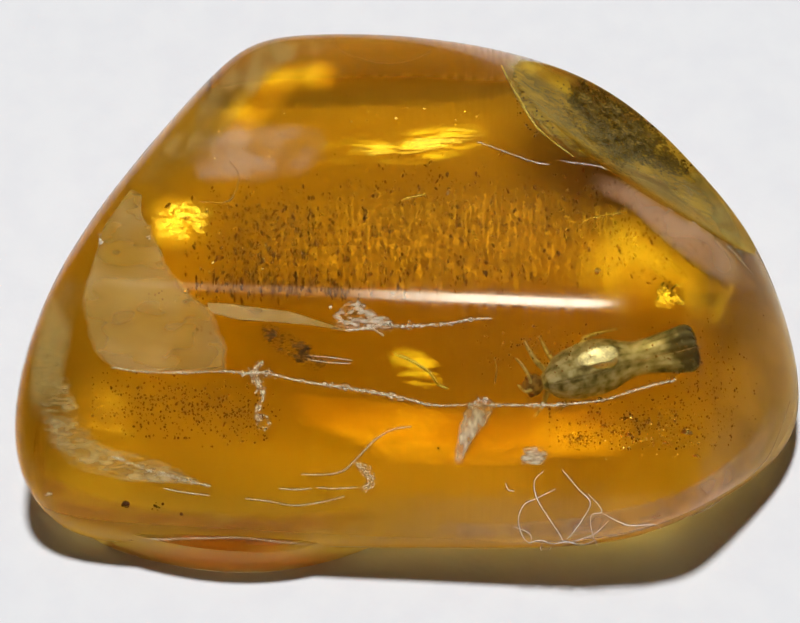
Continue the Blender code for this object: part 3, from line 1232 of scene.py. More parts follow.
@dataclass
class Insect:
    """A small winged insect, modelled along +X from head to wing tips, then laid in the stone."""

    centre: Point = (6.73, -4.75, 5.7)
    tilt: float = 35.0
    yaw: float = 14.0
    pitch: float = 9.0
    roll: float = 12.0
    # rings of (x, half width, top, bottom), head end first
    trunk: tuple[Point, ...] = (
        (-2.28, 0.10, 0.12, -0.14), (-2.15, 0.24, 0.26, -0.28), (-1.90, 0.42, 0.42, -0.44),
        (-1.55, 0.56, 0.52, -0.54), (-1.25, 0.60, 0.55, -0.56), (-1.05, 0.56, 0.50, -0.55),
        (-0.70, 0.66, 0.58, -0.60), (-0.20, 0.70, 0.56, -0.58), (0.25, 0.58, 0.46, -0.50),
        (0.60, 0.42, 0.34, -0.40), (0.90, 0.24, 0.22, -0.26), (1.05, 0.06, 0.08, -0.10),
    )
    head: tuple[Point, ...] = (
        (-2.86, 0.10, 0.02, -0.22), (-2.78, 0.24, 0.16, -0.30), (-2.62, 0.36, 0.28, -0.34),
        (-2.42, 0.40, 0.34, -0.34), (-2.22, 0.30, 0.26, -0.28), (-2.12, 0.14, 0.14, -0.16),
    )
    # the wings' reach over the body: (x, half width, height of the ridge, height of the hem)
    wing: tuple[Point, ...] = (
        (-2.05, 0.30, 0.52, 0.10), (-1.60, 0.66, 0.70, -0.12), (-1.00, 0.84, 0.78, -0.22),
        (-0.30, 0.92, 0.76, -0.26), (0.30, 0.84, 0.66, -0.20), (0.80, 0.64, 0.52, -0.06),
        (1.15, 0.56, 0.42, 0.02), (1.60, 0.64, 0.36, 0.06), (2.10, 0.78, 0.32, 0.10),
        (2.55, 0.84, 0.30, 0.14), (2.85, 0.70, 0.28, 0.18), (2.98, 0.40, 0.27, 0.22),
    )
    # places on a wing run from 0 to 1, from root to tip and from ridge to hem
    veins: tuple[float, ...] = (0.02, 0.24, 0.48, 0.70)
    vein_slant: float = 0.16
    vein_width: float = 0.022
    cross_veins: float = 9.0
    cross_slant: float = 1.3
    cross_width: float = math.sqrt(0.002)
    cross_start: float = 0.55
    relief: tuple[float, float, float] = (0.028, 0.014, 0.02)  # mm of veins, cross veins, dents
    pleats: tuple[float, float] = (19.0, 0.05)  # radians across the wing, and mm at its tip
    pleat_start: float = 0.62
    fan: tuple[float, float] = (0.66, 0.10)  # where the dark tip begins, and how soon it is full
    dark_veins: tuple[float, float] = (0.45, 0.3)  # darkness of veins and cross veins
    darkest: float = 1.6
    wing_thickness: float = 0.035
    wing_gap: float = 0.015  # mm between each wing and the middle
    # dark blots: (place along, reach, place down, reach, strength)
    blots: tuple[Point, ...] = ((0.93, 0.05, 0.45, 0.20, 0.9), (0.64, 0.03, 0.75, 0.25, 0.9),
                                (0.38, 0.06, 0.70, 0.22, 0.7))
    # feelers, then legs: radius, and points from the body out
    limbs: tuple[tuple[float, tuple[Point, ...]], ...] = (
        (0.055, ((-2.60, 0.15, 0.20), (-2.66, 0.42, 0.32), (-2.78, 0.80, 0.30), (-2.95, 1.10, 0.22))),
        (0.050, ((-2.62, -0.10, 0.20), (-2.90, -0.05, 0.38), (-3.12, 0.25, 0.45))),
        (0.085, ((-1.90, 0.30, -0.20), (-2.24, 0.80, -0.10), (-2.38, 1.15, 0.02), (-2.52, 1.58, 0.10))),
        (0.085, ((-1.90, -0.30, -0.30), (-2.15, -0.72, -0.38), (-2.34, -0.92, -0.36), (-2.62, -1.08, -0.2))),
        (0.075, ((-1.50, 0.40, -0.30), (-1.68, 0.85, -0.42), (-1.78, 1.15, -0.36), (-1.92, 1.52, -0.20))),
        (0.075, ((-1.40, -0.40, -0.30), (-1.28, -0.88, -0.55), (-1.42, -1.08, -0.64), (-1.72, -1.26, -0.70))),
        (0.070, ((-0.90, 0.40, -0.40), (-0.30, 0.86, -0.72), (0.20, 0.96, -0.74), (0.92, 0.94, -0.70))),
        (0.070, ((-0.90, -0.40, -0.40), (-0.40, -0.88, -0.72), (0.10, -0.95, -0.76), (0.82, -0.86, -0.75))),
    )
    limb_knots: int = 14
    eyes: tuple[Point, ...] = ((-2.62, 0.30, 0.06), (-2.62, -0.28, 0.06))
    eye_radii: Point = (0.13, 0.10, 0.14)
    film: Point = (-0.12, 0.34, 0.66)
    film_radii: Point = (0.60, 0.28, 0.22)
    film_turn: float = -12.0

    def loft(self, rings: Sequence[Point], sides: int = 20) -> Piece:
        """Draw a circle out through oval rings and close both ends.

        Args:
            rings: (x, half width, top, bottom) in millimetres.
            sides: Points of each ring.

        Returns:
            The closed body.
        """
        bpy.ops.mesh.primitive_circle_add(vertices=sides, radius=MM, fill_type="NGON")
        body = bpy.context.object
        bpy.ops.object.mode_set(mode="EDIT")
        for _ in rings[1:]:
            bpy.ops.mesh.extrude_region_move(TRANSFORM_OT_translate={"value": (0, 0, MM)})
        bpy.ops.object.mode_set(mode="OBJECT")
        points = []
        for across, up, along in get_points(body):
            x, half, top, bottom = rings[min(len(rings) - 1, round(along))]
            points.append((x, half * across, (top + bottom) / 2 + (top - bottom) / 2 * up))
        set_points(body, points)
        face_outward(body)
        apply_modifier(body, "SUBSURF", levels=2, render_levels=2)
        return body

    def cover(self, side: int, columns: int = 72, rows: int = 22) -> Piece:
        """Return one folded wing: a roof-shaped sheet with raised veins, flared at its tip.

        Args:
            side: 1 for the left wing and -1 for the right one.
            columns: Faces from root to tip.
            rows: Faces from ridge to hem.

        Returns:
            The wing.
        """
        bpy.ops.mesh.primitive_grid_add(x_subdivisions=columns, y_subdivisions=rows, size=2.0)
        wing = bpy.context.object
        stations = smooth_path(self.wing, columns + 1)
        points, darkness = [], []
        for place in get_points(wing) * MM:
            share, fall = (place[0] + 1) / 2, (place[1] + 1) / 2
            x, half, ridge, hem = stations[round(share * columns)]
            vein = max(hump((fall - at - self.vein_slant * share) / self.vein_width) for at in self.veins)
            cell = (share * self.cross_veins - fall * self.cross_slant) % 1.0
            cross = hump((cell - 0.5) / self.cross_width) if share > self.cross_start else 0.0
            dent = grain((x, fall, side), 0.5)
            raised = sum(depth * part for depth, part in zip(self.relief, (vein, cross, dent)))
            pleat = self.pleats[1] * math.sin(fall * self.pleats[0])
            pleat *= max(0.0, share - self.pleat_start) / (1.0 - self.pleat_start)
            droop = 1 - math.cos(fall * math.pi / 2)
            bow = math.sin(fall * math.pi / 2)
            height = ridge + (hem - ridge) * droop + raised + pleat
            points.append((x, side * (self.wing_gap + half * bow), height))
            blot = sum(strength * hump((share - along) / long, (fall - down) / high)
                       for along, long, down, high, strength in self.blots)
            fan = clamp((share - self.fan[0]) / self.fan[1])
            lines = self.dark_veins[0] * vein + self.dark_veins[1] * cross
            darkness.append(min(self.darkest, lines + blot + fan))
        set_points(wing, points)
        set_attribute(wing, "blot", darkness)
        apply_modifier(wing, "SOLIDIFY", thickness=self.wing_thickness * MM, offset=0.0)
        return wing

    def ball(self, middle: Point, radii: Point, turn: float = 0.0) -> Piece:
        """Return a smooth dented ball, such as an eye or a bubble of air."""
        bpy.ops.mesh.primitive_uv_sphere_add(segments=32, ring_count=20, radius=1.0)
        ball = bpy.context.object
        spun = Matrix.Rotation(math.radians(turn), 3, "Z")
        set_points(ball, [spun @ Vector(place * radii) * (1 + 0.06 * grain(place, 0.6)) + Vector(middle)
                          for place in get_points(ball) * MM])
        return ball

    def lay(self, name: str, parts: Sequence[Piece], finish: Finish) -> Piece:
        """Join the parts of a piece, lay it in the stone and dress it.

        Args:
            name: The piece's name.
            parts: Its parts.
            finish: What it is dressed in.

        Returns:
            The piece.
        """
        piece = join(name, parts)
        if "blot" not in piece.data.attributes:
            set_attribute(piece, "blot", same=0.0)
        turn = turned((self.roll, self.pitch, self.yaw, self.tilt), "XYZX")
        piece.data.transform(Matrix.Translation(Vector(self.centre) * MM) @ turn)
        settle(piece)
        return finish.dress(piece)

    def build(self) -> list[Piece]:
        """Model all parts of the insect.

        Returns:
            Its pieces.
        """
        knots = self.limb_knots
        limbs = [tube("limb", smooth_path(line, knots),
                      [radius * (1.25 - 0.75 * at / (knots - 1)) for at in range(knots)], 3)
                 for radius, line in self.limbs]
        head = self.lay("insect_head", [self.loft(self.head)], HEAD)
        body = self.lay("insect_body", [self.loft(self.trunk)], SHELL)
        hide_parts("insect")
        return [
            head,
            body,
            self.lay("insect_limbs", limbs, LIMB),
            self.lay("insect_wings", [self.cover(1), self.cover(-1)], MEMBRANE),
            self.lay("insect_eyes", [self.ball(middle, self.eye_radii) for middle in self.eyes], EYE),
            self.lay("insect_air_film", [self.ball(self.film, self.film_radii, self.film_turn)], AIR),
        ]


# ---------------------------------------------------------- what the stone holds

KHAKI = Film("khaki_crack_film", tone="CCA850", shade="C4A04C", cover=(0.44, 0.52), grain_size=0.7,
             streak=(0.5, 1.0, 1.0), turn=(0, 0, 60), ragged=0.2, fade=0.1, rim=0.04, rim_tone="DCCCA0",
             smooth=True)
PEARL = Film("pearly_crack_film", tone="FFFFFF", shade="FFFAF6", cover=(0.72, 1.0), grain_size=0.35,
             ragged=0.9, fade=0.2, roughness=0.5, metallic=0.6, relief=0.01)
HAZE = Film("streaky_haze", tone="FAF0D0", shade="D4B87C", cover=(0.10, 0.56), grain_size=0.45,
            streak=(0.3, 1.0, 1.0), turn=(0, 0, 35), ragged=0.5, fade=0.7)
# partly a milky haze, partly a painted soft highlight where the left shoulder's scuffed skin reflects the
# light
MIST_AND_HIGHLIGHT = Film("milky_mist_and_painted_highlight", tone="F4E0DC", shade="E4CCC4", cover=(0.08, 0.22), grain_size=1.2,
            ragged=0.5, fade=1.0, smooth=True)
OLIVE = Film("olive_veil", tone="D4BC74", shade="9C8440", cover=(0.16, 0.36), grain_size=1.0,
             streak=(1.0, 0.4, 1.0), turn=(0, 0, -35), ragged=0.4, fade=0.8, smooth=True)
# painted reflection: a pinkish band below the crease where the skin reflects a bright window, not a crack
PINK_REFLECTION = Film("painted_pink_reflection", tone="F4D0AC", shade="E4B48C", cover=(0.30, 0.50), grain_size=2.4,
            streak=(0.6, 1.0, 1.0), turn=(0, 0, -35), ragged=0.1, fade=0.7, smooth=True)
# partly the lip's own orange colour, partly a painted glow that brightens the lip, which lies in the stone's
# shadow
OCHRE_AND_GLOW = Film("ochre_and_painted_glow", tone="FFB060", shade="F49838", cover=(0.22, 0.46), grain_size=0.8,
             streak=(0.3, 1.0, 1.0), ragged=0.4, fade=0.6, roughness=0.6, metallic=0.8)
# painted shade: a brown veil that darkens the stone's thick right end, where less light gets through
PAINTED_SHADE = Film("painted_brown_shade", tone="7A4418", shade="5A300E", cover=(0.08, 0.20), grain_size=2.0,
             ragged=0.3, fade=0.9, roughness=0.9, smooth=True)
VEIL = Film("white_veil", tone="FFFFFF", shade="F8F4FC", cover=(0.16, 0.9), grain_size=0.6,
            streak=(1.0, 0.5, 0.5), ragged=0.9, fade=0.9, roughness=0.8)
FLAKY = Film("white_flakes", tone="FFFFFF", shade="FFF8F4", cover=(-0.2, 1.0), grain_size=0.4,
             streak=(0.4, 1.0, 1.0), turn=(0, 0, -12), ragged=1.4, fade=0.8, roughness=0.8)
DUSK = Film("dusky_orange_film", tone="EC9434", shade="B86C24", cover=(0.18, 0.42), grain_size=0.9,
            streak=(0.35, 1.0, 1.0), ragged=0.4, fade=0.9, roughness=0.8, smooth=True)
# painted reflection: the pinkish haze that the skin's grazing rim reflects along the lower right edge
RIM_REFLECTION = Film("painted_rim_reflection", tone="F8D0B0", shade="DCA880", cover=(0.16, 0.38), grain_size=1.2,
             ragged=0.3, fade=0.9, smooth=True)
SMUDGE = Film("brown_smudge", tone="5A3A0C", shade="2C1A06", cover=(-0.4, 0.8), grain_size=0.3,
              streak=(0.5, 1.0, 1.0), turn=(0, 0, 35), ragged=0.9, fade=0.8, roughness=0.8)
SLATE = Film("slaty_veil", tone="A8A8A4", shade="74746C", cover=(0.20, 0.40), grain_size=1.0,
             ragged=0.3, fade=0.5, smooth=True)
# painted caustic light: a bright orange sheet for the pool of light that the stone focuses on the paper under
# its front
CAUSTIC_GLOW = Film("painted_caustic_glow", tone="FFB40E", shade="F09C06", cover=(0.09, 0.24), grain_size=1.2,
            streak=(0.4, 1.0, 1.0), ragged=0.3, fade=0.6, roughness=0.45, metallic=1.0, smooth=True)
GLEAM = Film("golden_gleam", tone="FFDC28", shade="FFB410", cover=(-0.12, 0.26), grain_size=0.6,
             streak=(0.2, 1.0, 1.0), ragged=0.5, fade=1.0, roughness=0.36, metallic=1.0)
BRIGHT = Film("bright_gleam", tone="FFE858", shade="FFC020", cover=(-0.4, 0.8), grain_size=0.4,
              streak=(0.12, 1.0, 1.0), ragged=0.7, fade=1.0, roughness=0.34, metallic=1.0)
CRINKLE = Film("crinkled_gold", tone="FFE450", shade="FFB818", cover=(-0.35, 0.72), grain_size=0.3,
               streak=(0.6, 1.0, 1.0), turn=(0, 0, 25), ragged=1.2, fade=1.0, roughness=0.38, metallic=1.0)
SOFT_GOLD = Film("soft_gold", tone="FFD42C", shade="FFB81C", cover=(0.05, 0.17), grain_size=2.0,
                 ragged=0.2, fade=1.0, roughness=0.38, metallic=1.0, smooth=True)
SILVER = Film("silvery_air_sheen", tone="FFFFFF", shade="ECF0FF", cover=(0.55, 1.0), grain_size=0.3,
              ragged=0.5, fade=0.9, roughness=0.34, metallic=1.0, relief=0.006)
SULPHUR = Film("yellow_crack_edge", tone="FFF48C", shade="F0D848", cover=(0.45, 0.85), grain_size=0.5,
               ragged=0.3, fade=0.2, roughness=0.5, metallic=0.5)
MOSS = Film("olive_scar_veil", tone="D4B850", shade="9C8434", cover=(0.50, 0.72), grain_size=0.9,
            streak=(0.4, 1.0, 1.0), turn=(0, 0, -35), ragged=0.4, fade=0.5)
STRAW = Film("pale_straw_film", tone="F8E078", shade="D8B848", cover=(0.50, 0.80), grain_size=1.2,
             ragged=0.3, fade=0.6, smooth=True)
CURTAIN = Film("gold_streaks", tone="FFC028", shade="6A400A", cover=(-0.02, 0.12), grain_size=0.11,
               streak=(1.0, 0.12, 0.12), turn=(0, 0, -6), ragged=0.5, fade=1.0, roughness=0.4, metallic=0.9)
GOLD = Film("gold_spangle", tone="FFF0A0", shade="FFD040", cover=(0.75, 1.0), grain_size=0.5,
            ragged=0.5, fade=0.5, roughness=0.25, metallic=1.0, relief=0.02)
DUST = Film("dark_dust_film", tone="7C6424", shade="33260C", cover=(-0.2, 1.0), grain_size=0.5,
            ragged=0.9, fade=0.4, roughness=0.8)
TAR = Crumb("tar_specks", tone="8A5E1C", shade="5A380E")
SPOT = Crumb("brown_spot", tone="5A3010", shade="2E1606")
# painted highlight: pale grains for the thin bright line along the skin's lower rim
RIM = Crumb("painted_rim_highlight", tone="F8E4DC", shade="E0C0B0", slot=Slot.CRACK, size=1.5, roughness=0.5, cover=0.45)
BARK = Crumb("bark_crumbs", tone="6C5A38", shade="2C2010")
LINT = Crumb("lint_fibres", tone="FFFFFF", shade="E4D8CC", slot=Slot.LINT, size=0.6, roughness=0.6)

SHEETS: tuple[Sheet, ...] = (
    Sheet("crack_plane_left", KHAKI, (
        ((131, 187, .5), (105, 223, .7), (95, 253, .7), (85, 279, .7), (81, 298, .7), (85, 326, .7),
         (93, 351, .6), (110, 366, .5), (135, 370, .4)),
        ((136, 190, .5), (122, 220, .8), (122, 252, .9), (128, 272, .9), (132, 298, .9), (142, 322, .8),
         (150, 345, .7), (160, 360, .5), (175, 371, .4)),
        ((141, 193, .5), (142, 215, .7), (153, 230, .8), (166, 263, .9), (179, 279, .9), (194, 295, .8),
         (212, 312, .6), (226, 340, .5), (226, 369, .3)),
    ), 60, 24, ripple=0.1, ripple_size=1.2),
    Sheet("crack_band_upper", KHAKI, (
        ((206, 302, .6), (234, 304, .6), (267, 308, .6), (292, 312, .5), (320, 321, .4), (345, 329, .3)),
        ((209, 312, .5), (239, 319, .5), (267, 321, .5), (292, 323, .4), (320, 326, .3), (346, 331, .3)),
    ), 50, 6),
    Sheet("haze_lower_left", HAZE, (
        ((34, 330, .4), (30, 365, .4), (30, 395, .5), (38, 420, .5), (52, 450, .6), (74, 470, .6),
         (115, 480, .6), (153, 483, .5), (200, 484, .4)),
        ((66, 330, .6), (68, 366, .8), (80, 405, 1.), (92, 428, 1.), (110, 446, 1.), (140, 452, .9),
         (165, 459, .8), (185, 470, .6), (202, 482, .4)),
    ), 60, 14, ripple=0.06, ripple_size=1.2, seed=3),
    Sheet("pearly_patch", VEIL, (
        ((456, 400, 6.35), (458, 424, 5.95), (456, 439, 5.65), (453, 452, 5.4), (452, 466, 5.15)),
        ((502, 400, 6.35), (492, 415, 6.1), (476, 436, 5.7), (467, 450, 5.4), (462, 466, 5.15)),
    ), 30, 20, seed=4, level=True, soft=1),
    Sheet("pearly_chip", FLAKY, (
        ((519, 450), (532, 445), (547, 444)),
        ((521, 464), (534, 465), (549, 463)),
    ), 16, 12, seed=5, soft=1),
    Sheet("upper_flake_patch", FLAKY, (
        ((328, 318), (343, 304), (357, 299), (372, 309), (392, 319)),
        ((330, 328), (345, 328), (358, 328), (374, 330), (394, 331)),
    ), 24, 14, depth=.4, seed=6, soft=1),
    # painted caustic light seen through the front slope, not a film in the resin
    Sheet("front_caustic_glow", CAUSTIC_GLOW, (
        ((262, 384, 5.8), (340, 392, 5.7), (400, 400, 5.7), (470, 404, 5.8), (530, 404, 5.9),
         (630, 394, 6.1)),
        ((290, 424, 5.3), (345, 442, 5.1), (400, 455, 5.0), (470, 459, 5.0), (540, 462, 5.2),
         (640, 460, 5.4)),
    ), 60, 16, level=True),
    Sheet("front_caustic_glow_bright", CAUSTIC_GLOW, (
        ((366, 420, 5.35), (420, 416, 5.35), (480, 420, 5.35), (556, 424, 5.35)),
        ((366, 462, 5.0), (420, 466, 5.0), (480, 468, 5.0), (556, 466, 5.0)),
    ), 40, 12, level=True, soft=1),
    Sheet("scar_gleam", STRAW, (
        ((506, 46), (540, 59), (580, 80)),
        ((514, 94), (540, 108), (578, 114)),
    ), 24, 16, depth=.35, seed=50, soft=1),
    Sheet("scar_veil", MOSS, (
        ((500, 56), (540, 74), (590, 104), (640, 134), (680, 160), (706, 190), (720, 214)),
        ((506, 90), (538, 128), (575, 158), (613, 168), (647, 178), (690, 208), (716, 230)),
    ), 60, 16, depth=.2, seed=8),
    Sheet("scar_slate", SLATE, (
        ((690, 160), (714, 190), (732, 218), (746, 244)),
        ((690, 196), (708, 214), (724, 238), (746, 264)),
    ), 30, 10, depth=.2, seed=56, soft=1),
    Sheet("scar_dust", DUST, (
        ((558, 88), (581, 77), (610, 88), (640, 109), (661, 132), (679, 159), (690, 174)),
        ((562, 92), (585, 98), (612, 116), (632, 134), (650, 152), (672, 168), (690, 175)),
        ((564, 97), (576, 113), (592, 136), (615, 155), (638, 164), (668, 173), (690, 177)),
    ), 60, 20, depth=.15, seed=9),
    # painted reflection below the crease
    Sheet("crease_painted_reflection", PINK_REFLECTION, (
        ((586, 166), (636, 180), (672, 197), (697, 215), (720, 235), (758, 276)),
        ((580, 192), (624, 208), (650, 230), (680, 256), (716, 282), (768, 306)),
    ), 50, 10, depth=.12, seed=10, soft=1),
    Sheet("gold_band", SOFT_GOLD, (
        ((290, 50, 6.1), (262, 66, 6.0), (238, 88, 5.9), (214, 116, 5.8), (198, 142, 5.7)),
        ((326, 66, 6.0), (306, 86, 5.9), (284, 108, 5.8), (260, 132, 5.7), (242, 150, 5.6)),
    ), 50, 16, seed=12, level=True, soft=1),
    Sheet("gold_band_branch", SOFT_GOLD, (
        ((300, 56, 6.1), (322, 56, 6.1), (346, 62, 6.1)),
        ((298, 92, 5.9), (320, 94, 5.9), (340, 92, 5.9)),
    ), 20, 10, seed=13, level=True, soft=1),
    Sheet("main_streak", GLEAM, (
        ((300, 138, 6.9), (372, 132, 6.9), (405, 129, 6.9), (435, 124, 6.9), (466, 122, 6.9),
         (500, 130, 6.9)),
        ((306, 166, 6.8), (372, 166, 6.8), (412, 166, 6.8), (440, 162, 6.8), (468, 154, 6.8),
         (500, 146, 6.8)),
    ), 50, 12, seed=14, level=True, soft=1),
    Sheet("main_streak_core", BRIGHT, (
        ((348, 143), (400, 141), (435, 131), (462, 128), (492, 132)),
        ((350, 156), (404, 155), (440, 148), (466, 142), (492, 139)),
    ), 40, 8, depth=7., seed=44, level=True, soft=1),
    Sheet("streak_curtain", CURTAIN, (
        ((190, 200, 7.4), (300, 190, 7.4), (400, 180, 7.5), (520, 180, 7.6), (620, 186, 7.6),
         (716, 226, 7.5)),
        ((196, 296, 7.0), (300, 304, 7.0), (400, 304, 7.1), (520, 300, 7.2), (620, 300, 7.2),
         (730, 306, 7.1)),
    ), 60, 24, seed=46, level=True, soft=1),
    Sheet("gold_blob", SOFT_GOLD, (
        ((142, 198, 7.1), (174, 190, 7.1), (216, 202, 7.1)),
        ((144, 250, 6.9), (180, 252, 6.9), (216, 242, 6.9)),
    ), 24, 16, seed=15, level=True, soft=1),
    Sheet("gold_blob_core", CRINKLE, (
        ((150, 206, 7.2), (180, 198, 7.2), (212, 206, 7.2)),
        ((152, 238, 7.05), (182, 240, 7.05), (212, 232, 7.1)),
    ), 40, 30, seed=47, level=True, soft=1),
    Sheet("right_gleam", SOFT_GOLD, (
        ((550, 206, 7.35), (660, 204, 7.25), (766, 262, 6.8)),
        ((566, 312, 7.1), (670, 334, 6.9), (766, 340, 6.6)),
    ), 30, 20, seed=53, level=True, soft=1.3),
    Sheet("right_blob", CRINKLE, (
        ((656, 282, 7.2), (670, 280, 7.2), (684, 284, 7.2)),
        ((656, 308, 7.1), (670, 310, 7.1), (684, 306, 7.1)),
    ), 16, 12, seed=54, level=True, soft=1),
    Sheet("yellow_patch_left", SOFT_GOLD, (
        ((58, 368, 5.9), (100, 360, 6.0), (146, 372, 5.9)),
        ((56, 470, 5.1), (100, 478, 5.1), (148, 468, 5.1)),
    ), 24, 20, seed=16, level=True, soft=2),
    Sheet("left_veil", OLIVE, (
        ((60, 262, .3), (40, 310, .3), (28, 370, .3), (24, 430, .3)),
        ((92, 270, .5), (78, 320, .5), (66, 372, .5), (60, 430, .5)),
    ), 40, 16, seed=48, soft=1),
    # milky haze with a painted soft highlight on the left shoulder
    Sheet("upper_mist_and_painted_highlight", MIST_AND_HIGHLIGHT, (
        ((178, 140), (240, 116), (336, 126)),
        ((180, 184), (246, 188), (330, 178)),
    ), 40, 16, depth=.4, seed=17, soft=1),
    Sheet("rim_veil", OLIVE, (
        ((128, 180), (165, 136), (202, 96), (242, 52), (272, 36), (330, 34)),
        ((172, 196), (206, 158), (238, 120), (270, 80), (300, 60), (350, 56)),
    ), 60, 12, depth=.3, seed=18, soft=1),
    Sheet("bark_flake", SMUDGE, (
        ((258, 318), (286, 330), (330, 356)),
        ((262, 342), (282, 356), (318, 376)),
    ), 24, 16, depth=.3, seed=20, soft=1),
    Sheet("orange_triangle", GLEAM, (
        ((384, 344, 7.0), (414, 347, 7.0), (440, 362, 6.9), (456, 386, 6.7)),
        ((384, 356, 6.9), (394, 376, 6.8), (412, 390, 6.6), (452, 394, 6.6)),
    ), 24, 12, seed=22, level=True, soft=1),
    Sheet("low_dusk", DUSK, (
        ((36, 440, .5), (60, 478, .5), (120, 500, .5), (200, 508, .5), (300, 510, .5), (400, 504, .5)),
        ((22, 470, .4), (50, 515, .4), (120, 536, .4), (200, 538, .4), (300, 542, .4), (404, 540, .4)),
    ), 60, 14, seed=57, soft=1),
    # painted shade over the right end
    Sheet("painted_shade_right", PAINTED_SHADE, (
        ((690, 292, .6), (740, 296, .6), (780, 325, .5), (795, 365, .4)),
        ((690, 370, 1.), (735, 376, .9), (772, 388, .7), (796, 404, .4)),
        ((660, 480, .8), (715, 486, .7), (758, 474, .5), (785, 440, .4)),
    ), 30, 20, seed=23, soft=1.4),
    # painted rim reflection along the lower right edge
    Sheet("rim_painted_reflection", RIM_REFLECTION, (
        ((400, 518, .2), (500, 521, .2), (600, 511, .2), (686, 486, .2), (742, 446, .2), (772, 396, .2)),
        ((400, 541, .1), (500, 541, .1), (600, 533, .1), (698, 508, .1), (762, 460, .1), (790, 400, .1)),
    ), 60, 8, seed=58, soft=1),
    # orange lip colour with a painted glow, as the lip lies in shadow
    Sheet("lip_ochre_and_glow", OCHRE_AND_GLOW, (
        ((84, 541, .9), (150, 546, .9), (220, 548, .9), (300, 550, .9), (372, 550, .8)),
        ((100, 548, .45), (150, 557, .45), (220, 562, .45), (300, 560, .45), (370, 553, .45)),
        ((106, 554, .3), (150, 569, .3), (200, 575, .3), (300, 569, .3), (370, 557, .3)),
    ), 40, 12, level=True, seed=25),
)

TRAILS: tuple[Trail, ...] = (
    Trail("crack_line_flakes", PEARL, (
        ((241, 374, 2), (262, 372, 4), (297, 380, 1.2), (329, 385, 2.5), (350, 388, 4.5), (379, 393, 3),
         (408, 399, 2), (435, 405, 1.5), (479, 404, 3), (530, 405, 2), (560, 404, 2), (600, 400, 1.5),
         (640, 388, 1.2), (676, 379, 1)),
        ((262, 361, 4), (252, 372, 7, .6), (258, 382, 7, .6), (262, 396, 4, .6), (256, 415, 9, .6),
         (268, 428, 6, .6)),
        ((346, 330, 2, .4), (364, 328, 2, .4), (384, 324, 3, .4), (402, 326, 3, .4), (421, 325, 3, .4),
         (450, 323, 2.5, .4), (469, 319, 2, .4), (492, 318, 1, .4)),
        ((364, 328, 1, .4), (374, 329, 2, .4), (383, 335, 1.5, .4)),
        ((354, 462, 5), (366, 470, 10), (372, 480, 8), (360, 490, 8)),
        ((112, 367, .8), (140, 371, 1.2), (175, 372, 1.5), (226, 371, 1), (244, 373, 1)),
        ((112, 456, 2), (150, 470, 4), (185, 480, 3), (210, 486, 1)),
    ), .5, 4.0, (0.009, 0.032), tilt=0.3, seed=11),
    Trail("crease_chips", PEARL, (
        ((477, 141, 1), (512, 154, 1.5), (535, 162, 1.5), (549, 164, 1)),
        ((567, 162, 1.5), (594, 165, 2), (613, 171, 1.5), (636, 178, 2), (647, 181, 1.5), (672, 196, 1),
         (695, 214, 1), (718, 235, 1), (753, 274, 1)),
    ), .08, 0.9, (0.012, 0.035), tilt=0.4, seed=12),
)

THREADS: tuple[Threads, ...] = (
    Threads("fine_crack_lines", PEARL, (
        (.035, .5, ((411, 426), (392, 429), (375, 439), (364, 450), (352, 462), (343, 470), (326, 474),
         (301, 474))),
        (.03, .4, ((278, 488), (295, 489), (311, 488))),
        (.03, .4, ((245, 498), (270, 501), (293, 505), (319, 502), (344, 496))),
        (.025, .4, ((316, 487), (335, 488), (357, 487))),
        (.03, .4, ((163, 488), (185, 492), (209, 495))),
        (.02, .3, ((306, 355), (330, 357), (352, 360))),
        (.02, .3, ((307, 359), (328, 362), (350, 363))),
    )),
    Threads("pale_curves", OLIVE, (
        (.04, .3, ((229, 160), (238, 174), (235, 191), (225, 202), (200, 201))),
        (.03, .3, ((334, 36), (337, 48), (362, 59), (393, 63), (418, 57), (429, 50))),
        (.03, .4, ((494, 357), (496, 370), (494, 384))),
    )),
    Threads("gold_lines", SULPHUR, (
        (.05, .1, ((501, 65), (509, 81), (521, 102), (535, 125), (553, 141), (573, 156))),
        (.04, .6, ((402, 199), (414, 196), (425, 194))),
        (.05, .5, ((394, 353), (414, 362), (429, 372), (438, 384), (448, 388))),
        (.02, .5, ((576, 224), (595, 217), (615, 213), (627, 212))),
    )),
    Threads("crease_line", PEARL, (
        (.018, .06, ((477, 141), (512, 154), (535, 162), (549, 164))),
        (.024, .06, ((560, 160), (594, 165), (613, 171), (647, 181), (672, 196), (695, 214), (718, 235),
         (753, 274))),
    )),
)

